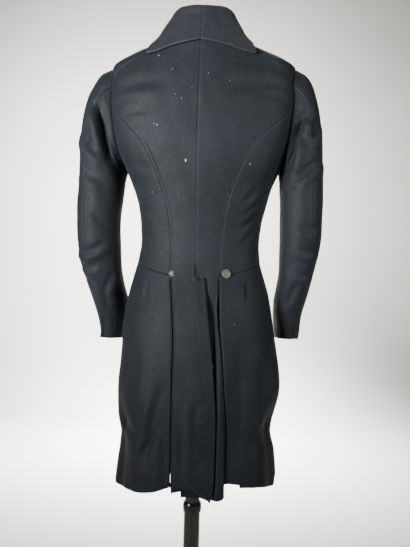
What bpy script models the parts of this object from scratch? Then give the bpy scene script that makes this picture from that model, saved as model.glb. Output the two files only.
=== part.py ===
"""A white tie tailcoat on a limbless dress form, whose pole slides in a floor stand.

Metres, +Z up. The origin is the middle of the stand's foot, on the floor. The coat's front
faces -Y, its back +Y, and the wearer's left is +X. Every cut piece is a thin wall laid on one
body surface. A place on that surface is (theta, z): theta is 0 at the centre back, positive
towards the wearer's left and 180 degrees at the centre front.
"""

import math

import bpy
import numpy as np

# ---------------------------------------------------------------- driving sizes
CLOTH = 0.0016            # one wall of wool and its lining
SEAM_GAP = 0.0004         # left between two sewn pieces
NAP = 0.0005              # bare clearance of one layer lying on another
WAIST_Z = 0.996           # waist seam at the hip buttons
VENT_Z = 0.990            # where the centre back seam ends and the vent starts
HOOK = 0.0014             # height of the step in the left back's edge at the vent
ARMHOLE_EASE = 0.0024     # the sleeve head stands this far off the armhole edge
SLEEVE_HEAD_EASE = (1.0, 0.62, 0.30, 0.10)  # share of the armhole's shape kept by the first rings
HIND_SEAM, FORE_SEAM = 62.0, 225.0          # the sleeve's two seams, degrees round from outside
COLLAR_LIFT = 0.0036      # middle of the collar's fall above the coat's surface
LAPEL_LIFT = 0.0054       # and of the lapel, on the rounder chest
STAND_LIFT = -0.0056      # middle of the collar's stand, inside the neck edge
BUTTON_R, BUTTON_DEEP = 0.0100, 0.0042
MAST_R = 0.0165
TUBE_R, TUBE_BORE = 0.0182, 0.0172
RING_Z, RING_HIGH, RING_R = 0.463, 0.026, 0.0216
FOOT_R = 0.190
FORM_BOTTOM, FORM_TOP = 0.656, 1.543
FORM_TURNS = 36
FORM_FOOT_SHARE = 0.93     # the flat underside against the widest of its rounded edge
FORM_FOOT_ROUND = 0.010
FORM_CROWN_SHARE = 0.86    # and the flat top of the neck, the same
FORM_CROWN_RISE = 0.006
BOSS_TOP = 0.040
FOOT_TOP = 0.012
RING_BULGE = 0.0035
STAND_GAP = 0.0003         # between the stand's pieces, one resting on another
MAST_FOOT_Z = 0.200        # the mast reaches this far down inside the tube
FORM_CAP_X = 0.184        # the form's flat shoulder plates

# ---------------------------------------------------------------- tables
# The coat's outer surface, level by level: half widths to either side, depths behind and in
# front of the middle line, the middle line's own y, and how square the section is (2 = ellipse).
LEVELS = {
    "z":      (.500, .555, .610, .655, .700, .755, .800, .850, .900, .950, .994, 1.030, 1.070,
               1.110, 1.150, 1.190, 1.228, 1.262, 1.310, 1.360, 1.405, 1.440, 1.457, 1.470,
               1.482, 1.493, 1.506, 1.523, 1.545, 1.585),
    "left":   (.176, .173, .166, .164, .173, .174, .170, .167, .164, .155, .144, .1345, .130,
               .132, .138, .152, .167, .183, .1965, .2035, .2070, .2075, .2050, .1880,
               .1620, .1310, .1020, .0790, .0660, .0600),
    "right":  (.186, .184, .180, .170, .177, .187, .184, .176, .1675, .159, .147, .1365, .134,
               .138, .1475, .158, .174, .186, .1975, .2035, .2070, .2075, .2050, .1880,
               .1620, .1310, .1020, .0790, .0660, .0600),
    "back":   (.136, .136, .135, .134, .133, .132, .131, .129, .125, .114, .102, .096, .094,
               .098, .106, .113, .119, .122, .123, .121, .116, .109, .104, .099,
               .094, .087, .079, .070, .061, .054),
    "front":  (.118, .118, .118, .118, .120, .122, .122, .120, .116, .112, .108, .106, .105,
               .108, .113, .119, .124, .127, .127, .121, .111, .098, .090, .083,
               .076, .069, .062, .056, .052, .050),
    "middle": (0.0, 0.0, 0.0, 0.0, 0.0, 0.0, 0.0, 0.0, 0.0, 0.0, 0.0, 0.0, 0.0,
               0.0, 0.0, 0.0, 0.0, 0.0, 0.0, 0.0, 0.0, 0.0, .001, .003,
               .006, .010, .013, .015, .015, .013),
    "square": (2.1, 2.1, 2.1, 2.1, 2.1, 2.1, 2.1, 2.1, 2.1, 2.1, 2.1, 2.1, 2.1,
               2.15, 2.2, 2.3, 2.45, 2.6, 2.8, 2.8, 2.55, 2.2, 2.05, 1.95,
               1.9, 1.9, 1.9, 2.0, 2.0, 2.0),
}
# Seams of the back, as half the distance across at each height.
SIDE_BACK_SEAM = {
    "z":     (WAIST_Z, 1.048, 1.090, 1.120, 1.154, 1.190, 1.222, 1.250, 1.279, 1.304, 1.330, 1.357),
    "x":     (.0520, .0535, .0565, .0600, .0665, .0785, .0915, .1050, .1215, .1440, .1695, .1960),
}
PLEAT = {
    "z":     (.540, .600, .680, .760, .840, .910, WAIST_Z),
    "left":  (.0370, .0385, .0395, .0395, .0390, .0430, .0520),
    "right": (.0780, .0760, .0745, .0695, .0620, .0555, .0520),
}
# The free edges below the vent: the left back skirt's crosses to the wearer's right.
VENT = {
    "z":     (.530, .580, .680, .785, .885, .945, VENT_Z - HOOK),
    "left":  (-.0465, -.0525, -.0530, -.0460, -.0345, -.0265, -.0215),
    "right": (.0160, .0130, .0080, .0020, -.0040, -.0060, -.0010),
}
# Bottom edges: z from the inner corner to the outer corner of each skirt, evenly spaced.
HEM_BACK = {"left": (.534, .553, .564, .567, .565), "right": (.556, .550, .543, .536, .541)}
HEM_SKIRT = {"left": (.560, .544, .540, .536, .533), "right": (.568, .566, .562, .558, .557)}
CORNER = 0.026            # radius of each skirt's front bottom corner
# The armhole, from the shoulder seam down the back, under, up the front and over the top.
ARMHOLE = {
    "theta": (76.5, 76.2, 76.0, 75.8, 78.0, 83.5, 91.0, 99.0, 106.0, 110.0, 109.5, 106.0, 99.0,
              90.0, 82.0),
    "z":     (1.417, 1.388, 1.357, 1.310, 1.268, 1.239, 1.228, 1.237, 1.265, 1.310, 1.360,
              1.405, 1.440, 1.4565, 1.442),
}
AT_SHOULDER, AT_SIDE_BACK, AT_SIDE_FRONT, AT_ROUND = 0, 2, 7, 15   # places in that table
SHOULDER_SEAM = {"x": (.186, .168, .148, .122, .094), "z": (1.4325, 1.444, 1.4545, 1.473, 1.4965)}
SIDE_FRONT_SEAM = {"theta": (103.0, 102.5, 101.0, 99.0), "z": (1.024, 1.090, 1.165, 1.237)}
WAIST = {"theta": (0.0, 28.0, 50.0, 70.0, 90.0, 103.0, 114.0, 130.0, 144.0, 152.5),
         "z": (.994, .996, 1.004, 1.016, 1.024, 1.024, 1.019, 1.002, .976, .952)}
TAIL_FRONT = {"theta": (90.5, 91.0, 91.5, 92.0, 92.5, 95.0, 100.0, 107.0, 114.0),
              "z": (.533, .600, .700, .800, .890, .935, .970, 1.000, 1.019)}
FRONT_EDGE = {"theta": (152.5, 153.3, 153.6), "z": (.952, .990, 1.030)}
# The shawl collar from the centre back to its end at the waist: where it rolls, where its outer
# edge lies, and how far from the roll the coat's own edge is sewn to it.
SHAWL = {
    "roll_theta": (0.0, 30.0, 60.0, 88.0, 102.0, 116.0, 130.0, 140.0, 147.0, 151.0, 153.0, 154.0,
                   154.5),
    "roll_z":     (1.574, 1.576, 1.579, 1.577, 1.567, 1.546, 1.507, 1.448, 1.370, 1.280, 1.185, 1.100,
                   1.040),
    "edge_theta": (0.0, 31.0, 52.5, 62.0, 88.0, 112.0, 119.0, 121.6, 124.5, 129.0, 136.0, 145.0,
                   152.0),
    "edge_z":     (1.4905, 1.4795, 1.4635, 1.4900, 1.5030, 1.4700, 1.4220, 1.3650, 1.3000, 1.2250,
                   1.1450, 1.0800, 1.0330),
    "sewn":       (.050, .051, .053, .047, .041, .032, .018, .008, .006, .006, .006, .006, .005),
}
# The sleeve, ring by ring: its outermost and innermost points on either side of the wearer, the
# heights of those points, its middle's y and its half depth.
SLEEVE = {
    "left_out":  (.2060, .2320, .2465, .2610, .2715, .2740, .2740, .2765, .2755, .2700, .2560, .2440,
                  .2330, .2275),
    "right_out": (.2060, .2290, .2430, .2540, .2630, .2690, .2704, .2718, .2695, .2620, .2520, .2420,
                  .2345, .2300),
    "z_out":     (1.4565, 1.4430, 1.4220, 1.3880, 1.3350, 1.2700, 1.2020, 1.1400, 1.0800, 1.0300, .9800,
                  .9350, .8930, .8480),
    "left_in":   (.1710, .1725, .1730, .1735, .1745, .1770, .1800, .1795, .1780, .1770, .1715, .1640,
                  .1620, .1640),
    "right_in":  (.1740, .1745, .1755, .1760, .1770, .1785, .1790, .1790, .1795, .1800, .1760, .1710,
                  .1720, .1740),
    "z_in":      (1.2270, 1.2210, 1.2130, 1.2020, 1.1850, 1.1600, 1.1250, 1.0880, 1.0480, 1.0100, .9720,
                  .9320, .8920, .8480),
    "y":         (-.0040, -.0040, -.0030, -.0010, .0010, .0030, .0050, .0060, .0040, -.0030, -.0140,
                  -.0290, -.0430, -.0560),
    "deep":      (.0600, .0620, .0640, .0655, .0655, .0640, .0615, .0600, .0590, .0575, .0560, .0550,
                  .0540, .0540),
}
RIGHT_CUFF_HIGHER = 0.011
# The skirts' largest folds: a line from its upper to its lower end, its width and how far it
# stands out (or, negative, in). Thetas are degrees, on the named side.
FOLDS = (
    # side, upper theta, upper z, lower theta, lower z, width, stands out
    ("left", 60.0, 0.80, 44.0, 0.56, 0.020, 0.006),
    ("left", 74.0, 0.78, 66.0, 0.54, 0.018, -0.006),
    ("left", 25.0, 0.82, 20.0, 0.54, 0.012, -0.006),
    ("right", 37.0, 0.86, 36.0, 0.55, 0.013, -0.010),
    ("right", 62.0, 0.80, 55.0, 0.56, 0.022, 0.005),
    ("right", 78.0, 0.76, 74.0, 0.54, 0.018, -0.005),
)
# The sleeves' largest folds: turn round the sleeve, ring, spread over both, and depth.
SLEEVE_FOLDS = (
    # side, degrees, ring, spread in degrees, spread in rings, stands out
    ("left", 108.0, 3.1, 42.0, 0.75, -0.006),
    ("right", 112.0, 3.0, 44.0, 0.75, -0.007),
    ("left", 105.0, 9.0, 30.0, 0.7, -0.004),
    ("right", 110.0, 9.0, 30.0, 0.8, -0.004),
)
COLOURS = {  # linear RGB
    "cloth": (0.020, 0.022, 0.026), "collar": (0.033, 0.035, 0.038), "button": (0.075, 0.072, 0.060),
    "jersey": (0.72, 0.68, 0.60), "steel": (0.33, 0.31, 0.30), "black": (0.012, 0.012, 0.013),
}


# ---------------------------------------------------------------- curves
def smooth(xs, ys, x):
    """The cubic through a table's points that never overshoots them."""
    xs, ys, x = (np.asarray(v, float) for v in (xs, ys, x))
    steps = np.diff(xs)
    rise = np.diff(ys) / steps
    slope = np.concatenate([rise[:1], np.zeros(len(xs) - 2), rise[-1:]])
    same = rise[:-1] * rise[1:] > 0
    early, late = 2 * steps[1:] + steps[:-1], steps[1:] + 2 * steps[:-1]
    safe = np.where(same, rise[:-1], 1), np.where(same, rise[1:], 1)
    slope[1:-1] = np.where(same, (early + late) / (early / safe[0] + late / safe[1]), 0)
    i = np.clip(np.searchsorted(xs, x) - 1, 0, len(xs) - 2)
    t = (x - xs[i]) / steps[i]
    here, there = ys[i], ys[i + 1]
    bend = (1 - t) * (slope[i] * steps[i] - (there - here)) + t * (there - here - slope[i + 1] * steps[i])
    return here + t * (there - here) + t * (1 - t) * bend


def trace(points, count):
    """count + 1 places, evenly spaced along the smooth line through a few (theta or x, z) points."""
    points = np.asarray(points, float)
    scale = np.array([0.0025, 1.0]) if np.abs(points[:, 0]).max() > 2 else np.ones(2)
    far = np.concatenate([[0], np.cumsum(np.linalg.norm(np.diff(points * scale, axis=0), axis=1))])
    at = np.linspace(0, far[-1], count + 1)
    return np.stack([smooth(far, points[:, 0], at), smooth(far, points[:, 1], at)], axis=1)


def ease(value, low, high):
    """0 below low, 1 above high, and smooth between."""
    t = np.clip((np.asarray(value, float) - low) / (high - low), 0, 1)
    return t * t * (3 - 2 * t)


def unit(vectors):
    return vectors / np.linalg.norm(vectors, axis=-1, keepdims=True)


# ---------------------------------------------------------------- the body surface
def level(name, z):
    return smooth(LEVELS["z"], LEVELS[name], z)


def fold_height(theta, z):
    """How far the folds move the surface at a place."""
    total = np.zeros(np.broadcast(theta, z).shape)
    for side, top_theta, top_z, low_theta, low_z, width, out in FOLDS:
        sign = 1 if side == "left" else -1
        down = (top_z - z) / (top_z - low_z)
        line = np.radians(top_theta + (low_theta - top_theta) * np.clip(down, 0, 1.2))
        across = (sign * theta - line) * 0.15
        total = total + out * np.exp(-(across / width) ** 2) * ease(down, 0, 0.45) * (sign * theta > 0)
    return total


def body(theta, z):
    """The point of the coat's outer surface at (theta, z), theta in radians."""
    theta, z = np.broadcast_arrays(np.asarray(theta, float), np.asarray(z, float))
    sine, cosine = np.sin(theta), np.cos(theta)
    wide = np.where(sine > 0, level("left", z), level("right", z))
    deep = np.where(cosine > 0, level("back", z), level("front", z))
    power = level("square", z)
    r = (np.abs(sine / wide) ** power + np.abs(cosine / deep) ** power) ** (-1 / power)
    r = r + fold_height(theta, z)
    return np.stack([r * sine, level("middle", z) + r * cosine, z], axis=-1)


def body_normal(theta, z):
    step = 0.002
    along = body(theta + step, z) - body(theta - step, z)
    up = body(theta, z + step) - body(theta, z - step)
    return unit(np.cross(up, along))


def lifted(theta, z, lift):
    """The body's point moved out of the surface by lift, an array or a number."""
    return body(theta, z) + np.asarray(lift)[..., None] * body_normal(theta, z)


def theta_at(x, z):
    """The angle, on the back, of the place that is x to the left of the middle."""
    low, high = np.full(np.shape(x), -math.pi / 2), np.full(np.shape(x), math.pi / 2)
    for _ in range(40):
        middle = (low + high) / 2
        less = body(middle, z)[..., 0] < x
        low, high = np.where(less, middle, low), np.where(less, high, middle)
    return (low + high) / 2


def back_places(xs, zs, count, sign=1):
    """A seam of the back given by x: places in (theta, z)."""
    line = trace(np.stack([sign * np.asarray(xs), zs], axis=1), count)
    return np.stack([theta_at(line[:, 0], line[:, 1]), line[:, 1]], axis=1)


def turned_places(thetas, zs, count, sign=1):
    """A seam given by degrees round the body: places in (theta, z)."""
    line = trace(np.stack([thetas, zs], axis=1), count)
    return np.stack([sign * np.radians(line[:, 0]), line[:, 1]], axis=1)


# ---------------------------------------------------------------- seams shared by pieces
def armhole(start, end, count, sign):
    """Places along the armhole between two of its table's rows, on a closed smooth curve."""
    rows = np.stack([np.radians(ARMHOLE["theta"]), ARMHOLE["z"]], axis=1)
    at = np.linspace(start, end, count + 1)
    i = np.floor(at).astype(int)
    t = (at - i)[:, None]
    a, b, c, d = (rows[(i + k) % AT_ROUND] for k in (-1, 0, 1, 2))
    line = 0.5 * (2 * b + (c - a) * t + (2 * a - 5 * b + 4 * c - d) * t ** 2
                  + (3 * b - a - 3 * c + d) * t ** 3)
    return line * (sign, 1)


def neck_places(first, last, count, sign):
    """Where the coat's own edge is sewn to the shawl, between two of the SHAWL table's rows."""
    rows = np.arange(len(SHAWL["sewn"]))
    at = np.linspace(first, last, count + 1)
    columns = {name: smooth(rows, SHAWL[name], at) for name in SHAWL}
    roll = body(np.radians(columns["roll_theta"]), columns["roll_z"])
    edge = body(np.radians(columns["edge_theta"]), columns["edge_z"])
    far = np.linalg.norm(edge - roll, axis=1)
    share = np.clip(columns["sewn"] / far, 0, 0.6)
    theta = np.radians(columns["roll_theta"] + share * (columns["edge_theta"] - columns["roll_theta"]))
    z = columns["roll_z"] + share * (columns["edge_z"] - columns["roll_z"])
    return np.stack([sign * theta, z], axis=1)


SHOULDER_ROW = 2.35       # where the shoulder seam meets the neck, as a row of SHAWL


def shoulder_seam(count, sign):
    """From the neck out to the armhole."""
    start = neck_places(SHOULDER_ROW, SHOULDER_ROW + 0.01, 1, sign)[:1]
    inner = back_places(SHOULDER_SEAM["x"], SHOULDER_SEAM["z"], 4, 1)[::-1] * (sign, 1)
    end = armhole(AT_SHOULDER, AT_SHOULDER + 1, 1, sign)[:1]
    points = np.concatenate([start, inner, end])
    points[:, 0] = np.degrees(np.abs(points[:, 0]))
    return turned_places(points[:, 0], points[:, 1], count, sign)


# ---------------------------------------------------------------- patches and walls
def shares(*edges):
    """How far along each place of an edge is, from 0 to 1, averaged over opposite edges."""
    total = 0
    for edge in edges:
        far = np.cumsum(np.linalg.norm(np.diff(edge * (0.15, 1), axis=0), axis=1))
        total = total + np.concatenate([[0], far]) / far[-1]
    return total / len(edges)


def patch(inner, outer, bottom, top):
    """Places filling four edges: inner and outer run upwards, bottom and top run outwards."""
    u = shares(bottom, top)[None, :, None]
    v = shares(inner, outer)[:, None, None]
    sides = (1 - u) * inner[:, None] + u * outer[:, None]
    ends = (1 - v) * bottom[None] + v * top[None]
    corners = (1 - v) * ((1 - u) * inner[0] + u * outer[0]) + v * ((1 - u) * inner[-1] + u * outer[-1])
    return sides + ends - corners


def trimmed(grid, gap=SEAM_GAP / 2):
    """The grid of points with each of its four edges drawn in by a seam's gap."""
    grid = grid.copy()
    for edge, near in (((0,), (1,)), ((-1,), (-2,))):
        grid[edge[0]] += gap * unit(grid[near[0]] - grid[edge[0]])
        grid[:, edge[0]] += gap * unit(grid[:, near[0]] - grid[:, edge[0]])
    return grid


def material(name):
    made = bpy.data.materials.get(name) or bpy.data.materials.new(name)
    made.use_nodes = True
    shader = made.node_tree.nodes["Principled BSDF"]
    shader.inputs["Base Color"].default_value = (*COLOURS[name], 1)
    shader.inputs["Roughness"].default_value = {"steel": 0.35, "black": 0.2}.get(name, 0.85)
    shader.inputs["Metallic"].default_value = 1.0 if name == "steel" else 0.0
    return made


def add_object(name, points, faces, finish):
    mesh = bpy.data.meshes.new(name)
    mesh.from_pydata([tuple(map(float, p)) for p in points], [], faces)
    mesh.shade_smooth()
    mesh.set_sharp_from_angle(angle=math.radians(40))
    made = bpy.data.objects.new(name, mesh)
    made.data.materials.append(material(finish))
    bpy.context.scene.collection.objects.link(made)
    return made


def cloth(name, grid, finish="cloth", flip=False, closed=False):
    """A wall of cloth whose middle surface is a grid of points."""
    rows, columns = grid.shape[:2]
    faces = []
    for i in range(rows - 1):
        for j in range(columns - (0 if closed else 1)):
            k = (j + 1) % columns
            quad = (i * columns + j, i * columns + k, (i + 1) * columns + k, (i + 1) * columns + j)
            faces.append(quad[::-1] if flip else quad)
    made = add_object(name, grid.reshape(-1, 3), faces, finish)
    wall = made.modifiers.new("wall", "SOLIDIFY")
    wall.thickness, wall.offset = CLOTH, 0.0
    return made


def turned_solid(name, profile, finish, sides=32):
    """A solid turned about the Z axis from its outline (radius, z); a radius of 0 closes it."""
    points, rings = [], []
    for r, z in profile:
        if r == 0:
            rings.append([len(points)] * sides)
            points.append((0, 0, z))
            continue
        turns = [2 * math.pi * k / sides for k in range(sides)]
        rings.append(list(range(len(points), len(points) + sides)))
        points += [(r * math.cos(t), r * math.sin(t), z) for t in turns]
    pairs = list(zip(rings, rings[1:]))
    if profile[0][0] > 0:
        pairs.append((rings[-1], rings[0]))
    faces = []
    for a, b in pairs:
        for k in range(sides):
            corners = [a[k], a[(k + 1) % sides], b[(k + 1) % sides], b[k]]
            faces.append([c for i, c in enumerate(corners) if c not in corners[:i]])
    return add_object(name, points, [f for f in faces if len(f) > 2], finish)


# ---------------------------------------------------------------- the coat's pieces
PLEAT_ROWS, SEAM_ROWS, ARM_ROWS = 9, 11, 3
BACK_COLUMNS, SHOULDER_COLUMNS = 7, 8
PLEAT_TURN = 0.0045       # the back's edge turns in over this width, below the waist
PLEAT_DEEP = 0.011        # and reaches this far in
CLOSE_TOP = 0.011         # the last row below the waist
CENTRE_AT_SIDE_BACK, CENTRE_AT_SHOULDER = 1.342, 1.404   # heights on the centre back seam


def side_back_seam(sign):
    """Up the seam between a back panel and a side body, ending where it meets the armhole."""
    places = back_places(SIDE_BACK_SEAM["x"], SIDE_BACK_SEAM["z"], SEAM_ROWS, sign)
    miss = armhole(AT_SIDE_BACK, AT_SIDE_FRONT, 1, sign)[0] - places[-1]
    return places + miss * (np.arange(len(places)) / SEAM_ROWS)[:, None] ** 3


def side_back_edge(side, sign):
    """The back's outer edge: pleat, side-back seam, then the armhole up to the shoulder."""
    z = np.linspace(PLEAT["z"][0], WAIST_Z - CLOSE_TOP, PLEAT_ROWS)
    pleat = np.stack([sign * smooth(PLEAT["z"], PLEAT[side], z), z], axis=1)
    pleat = np.stack([theta_at(pleat[:, 0], z), z], axis=1)
    seam = side_back_seam(sign)
    return pleat, seam, armhole(AT_SHOULDER, AT_SIDE_BACK, ARM_ROWS, sign)[::-1]


def centre_edge(side):
    """The back's inner edge: the vent's free edge, then the centre back seam."""
    z = np.linspace(VENT["z"][0], VENT["z"][-1], PLEAT_ROWS)
    vent = np.stack([theta_at(smooth(VENT["z"], VENT[side], z), z), z], axis=1)
    heights = (VENT_Z, CENTRE_AT_SIDE_BACK, CENTRE_AT_SHOULDER, neck_places(0, 0.01, 1, 1)[0, 1])
    z = smooth((0, SEAM_ROWS, SEAM_ROWS + ARM_ROWS, SEAM_ROWS + ARM_ROWS + SHOULDER_COLUMNS), heights,
               np.arange(SEAM_ROWS + ARM_ROWS + SHOULDER_COLUMNS + 1))
    return np.concatenate([vent, np.stack([np.zeros_like(z), z], axis=1)])


def hem_places(start, end, heights, count):
    """A bottom edge between two corners, its height from a short row of evenly spaced values."""
    theta = np.linspace(start[0], end[0], count + 1)
    z = smooth(np.linspace(0, 1, len(heights)), heights, np.linspace(0, 1, count + 1))
    return np.stack([theta, z], axis=1)


def back_grid(side):
    sign = 1 if side == "left" else -1
    pleat, seam, arm = side_back_edge(side, sign)
    outer = np.concatenate([pleat, seam, arm[1:], shoulder_seam(SHOULDER_COLUMNS, sign)[::-1][1:]])
    inner = centre_edge(side)
    inner[0, 1], outer[0, 1] = HEM_BACK[side][0], HEM_BACK[side][-1]
    top = neck_places(0, SHOULDER_ROW, BACK_COLUMNS, sign)
    bottom = hem_places(inner[0], outer[0], HEM_BACK[side], BACK_COLUMNS)
    places = patch(inner, outer, bottom, top)
    # one more column close to the outer edge, so that the pleat can turn in there
    turn = places[:, -1:].copy()
    turn[..., 0] -= sign * PLEAT_TURN / 0.13
    places = np.concatenate([places[:, :-1], turn, places[:, -1:]], axis=1)
    return places, sign


def back_lift(side, places, sign):
    """How far off the body the back lies: the vent's layers and the pleat's turned edge."""
    z = places[..., 1]
    x = body(places[..., 0], z)[..., 0]
    below = ease(WAIST_Z + 0.034 - z, 0, 0.034)
    lift = np.full(z.shape, -CLOTH / 2)
    if side == "right":
        under = ease(x, -0.062, -0.045)
        recess = 0.0085 * ease(WAIST_Z - 0.02 - z, 0, 0.06)
        lift -= below * (CLOTH + 3 * NAP) * ease(x, -0.052, -0.020) + under * recess
    else:
        lift += 0.0012 * below * ease(0.02 - x, 0, 0.03)
    fold = ease(WAIST_Z - 0.004 - z, 0, 0.02)
    lift[:, -1] -= PLEAT_DEEP * fold[:, -1]
    lift[:, -2] -= 0.0006 * fold[:, -2]
    return lift


def make_back(side):
    places, sign = back_grid(side)
    lift = back_lift(side, places, sign)
    grid = trimmed(lifted(places[..., 0], places[..., 1], lift))
    cloth(f"back_{side}", grid, flip=sign < 0)


SIDE_COLUMNS, FRONT_COLUMNS, LAP_COLUMNS = 6, SHOULDER_COLUMNS, 2
SIDE_FRONT_ROWS = 7


def make_side(side):
    """The side body between the back and the front, from the waist seam to the armhole."""
    sign = 1 if side == "left" else -1
    inner = side_back_seam(sign)
    outer = turned_places(SIDE_FRONT_SEAM["theta"], SIDE_FRONT_SEAM["z"], SEAM_ROWS, sign)
    top = armhole(AT_SIDE_BACK, AT_SIDE_FRONT, SIDE_COLUMNS, sign)
    bottom = side_waist(sign)
    places = patch(inner, outer, bottom, top)
    lift = np.full(places.shape[:2], -CLOTH / 2)
    cloth(f"side_{side}", trimmed(lifted(places[..., 0], places[..., 1], lift)),
          flip=sign < 0)


def waist_places(start, end, count, sign):
    theta = np.linspace(start, end, count + 1)
    z = smooth(np.radians(WAIST["theta"]), WAIST["z"], theta)
    return np.stack([sign * theta, z], axis=1)


def side_waist(sign):
    """The waist seam under the side body, from the hip button's seam round to the front."""
    start = abs(theta_at(np.array(sign * SIDE_BACK_SEAM["x"][0]), WAIST_Z))
    places = waist_places(float(start), math.radians(SIDE_FRONT_SEAM["theta"][0]), SIDE_COLUMNS, sign)
    places[0, 1] = WAIST_Z
    return places


def front_waist(sign):
    """The waist edge of the front, from the side body to the front's point."""
    ends = math.radians(SIDE_FRONT_SEAM["theta"][0]), math.radians(WAIST["theta"][-1])
    return waist_places(*ends, FRONT_COLUMNS, sign)


def make_front(side):
    """The front, from the shoulder seam behind the shoulder's ridge down to the cut-away waist."""
    sign = 1 if side == "left" else -1
    roll_rows = 14
    edge = turned_places(FRONT_EDGE["theta"], FRONT_EDGE["z"], 2, sign)
    rolled = neck_places(SHOULDER_ROW, len(SHAWL["sewn"]) - 1, roll_rows, sign)[::-1]
    inner = np.concatenate([edge[:-1], rolled])
    seam = turned_places(SIDE_FRONT_SEAM["theta"], SIDE_FRONT_SEAM["z"], SIDE_FRONT_ROWS, sign)
    arm = armhole(AT_SIDE_FRONT, AT_ROUND, len(inner) - len(seam), sign)
    outer = np.concatenate([seam, arm[1:]])
    top = shoulder_seam(FRONT_COLUMNS, sign)
    bottom = front_waist(sign)[::-1]
    places = patch(inner, outer, bottom, top)
    lift = np.full(places.shape[:2], -CLOTH / 2)
    cloth(f"front_{side}", trimmed(lifted(places[..., 0], places[..., 1], lift)),
          flip=sign > 0)


SKIRT_ROWS = 11
# The skirt's pleat edge, from the panel round its fold to the turned-under strip behind it:
# distance from the pleat line, and how far in from the surface.
PLEAT_FOLD = ((0.030, 0.0060), (0.0060, 0.0052), (0.0020, 0.0036), (0.0017, 0.0012))


def make_skirt(side):
    """A tail's side skirt, from the waist seam to the hem, turned under along the pleat."""
    sign = 1 if side == "left" else -1
    z = np.linspace(HEM_SKIRT[side][0], WAIST_Z, SKIRT_ROWS + 1)
    x = sign * smooth(PLEAT["z"], PLEAT[side], z)
    inner = np.stack([theta_at(x, z), z], axis=1)
    outer = turned_places(TAIL_FRONT["theta"], TAIL_FRONT["z"], SKIRT_ROWS, sign)
    top = np.concatenate([side_waist(sign), front_waist(sign)[1:LAP_COLUMNS + 1]])
    bottom = hem_places(inner[0], outer[0], HEM_SKIRT[side], len(top) - 1)
    outer[-1], outer[0], inner[-1] = top[-1], bottom[-1], top[0]
    places = patch(inner, outer, bottom, top)
    # the front bottom corner is rounded: points outside the arc are drawn back to it
    reach = (sign * (outer[0, 0] - places[..., 0])) * level(side, places[..., 1])
    rise = places[..., 1] - HEM_SKIRT[side][-1]
    dx, dz = CORNER - reach, CORNER - rise
    far = np.hypot(dx, dz)
    outside = (dx > 0) & (dz > 0) & (far > CORNER)
    pull = np.where(outside, 1 - CORNER / np.maximum(far, 1e-9), 0)
    places[..., 0] -= sign * pull * dx / level(side, places[..., 1])
    places[..., 1] += pull * dz
    radius = 0.13
    lift = np.full(places.shape[:2], -CLOTH / 2)
    base_theta, base_z = places[:, 0, 0], places[:, 0, 1]
    folded = [(base_theta + sign * away / radius, base_z, -deep - CLOTH / 2) for away, deep in PLEAT_FOLD]
    panel = lifted(places[..., 0], places[..., 1], lift)
    first = lifted(base_theta + sign * 0.0042 / radius, base_z, np.full(base_z.shape, -CLOTH / 2))
    strip = np.stack([lifted(t, zz, np.full(zz.shape, d)) for t, zz, d in folded], axis=1)
    grid = np.concatenate([strip, first[:, None], panel[:, 1:]], axis=1)
    cloth(f"skirt_{side}", trimmed(grid), flip=sign < 0)


RING_POINTS = 22


def sleeve_ring(ring, sign, side, degrees):
    """Points of one ring of the sleeve at turns from outside (0) through the back (90)."""
    rings = np.arange(len(SLEEVE["y"]))
    size = {name: smooth(rings, SLEEVE[name], ring) for name in SLEEVE}
    higher = RIGHT_CUFF_HIGHER * ease(ring, 8, 13) if side == "right" else 0
    out = np.array([size[side + "_out"], size["y"], size["z_out"] + higher])
    inside = np.array([size[side + "_in"], size["y"], size["z_in"] + higher])
    turn = np.radians(degrees)[:, None]
    middle, arm = (out + inside) / 2, (out - inside) / 2
    swell = 1 + sleeve_fold(side, degrees, ring)[:, None] / size["deep"]
    points = middle + swell * (arm * np.cos(turn) + size["deep"] * np.sin(turn) * (0, 1, 0))
    return points * (sign, 1, 1)


def sleeve_fold(side, degrees, ring):
    total = np.zeros(len(degrees))
    for name, turn, at, wide, long, out in SLEEVE_FOLDS:
        if name == side:
            away = (np.asarray(degrees) - turn + 180) % 360 - 180
            total += out * np.exp(-(away / wide) ** 2 - ((ring - at) / long) ** 2)
    return total


def armhole_points(side, degrees):
    """The armhole's own points at those turns round the sleeve."""
    sign = 1 if side == "left" else -1
    places = armhole(0, AT_ROUND, 240, sign)
    points = lifted(places[:, 0], places[:, 1], np.full(len(places), -CLOTH / 2))
    low, high = points.min(axis=0), points.max(axis=0)
    middle, half = (low + high) / 2, (high - low) / 2
    away = (points - middle) / half
    turn = np.degrees(np.arctan2(away[:, 1], away[:, 2])) % 360
    order = np.argsort(turn)
    wanted = np.asarray(degrees) % 360
    found = [np.interp(wanted, turn[order], points[order, k], period=360) for k in range(3)]
    return np.stack(found, axis=1) + (sign * ARMHOLE_EASE, 0, 0)


def sleeve_grid(side, degrees):
    sign = 1 if side == "left" else -1
    first = armhole_points(side, degrees)
    ease_off = first - sleeve_ring(0, sign, side, degrees)
    rows = []
    for ring in range(len(SLEEVE["y"])):
        keep = SLEEVE_HEAD_EASE[ring] if ring < len(SLEEVE_HEAD_EASE) else 0
        rows.append(sleeve_ring(ring, sign, side, degrees) + keep * ease_off)
    grid = np.array(rows)
    grid[0] = first
    return grid


def make_sleeve(side):
    """The top sleeve and the under sleeve, from the armhole to the cuff."""
    sign = 1 if side == "left" else -1
    for name, start, end, count in (("topsleeve", FORE_SEAM - 360, HIND_SEAM, 12),
                                    ("undersleeve", HIND_SEAM, FORE_SEAM, 10)):
        grid = sleeve_grid(side, np.linspace(start, end, count + 1))
        cloth(f"{name}_{side}", trimmed(grid, SEAM_GAP), flip=sign > 0)


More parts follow.
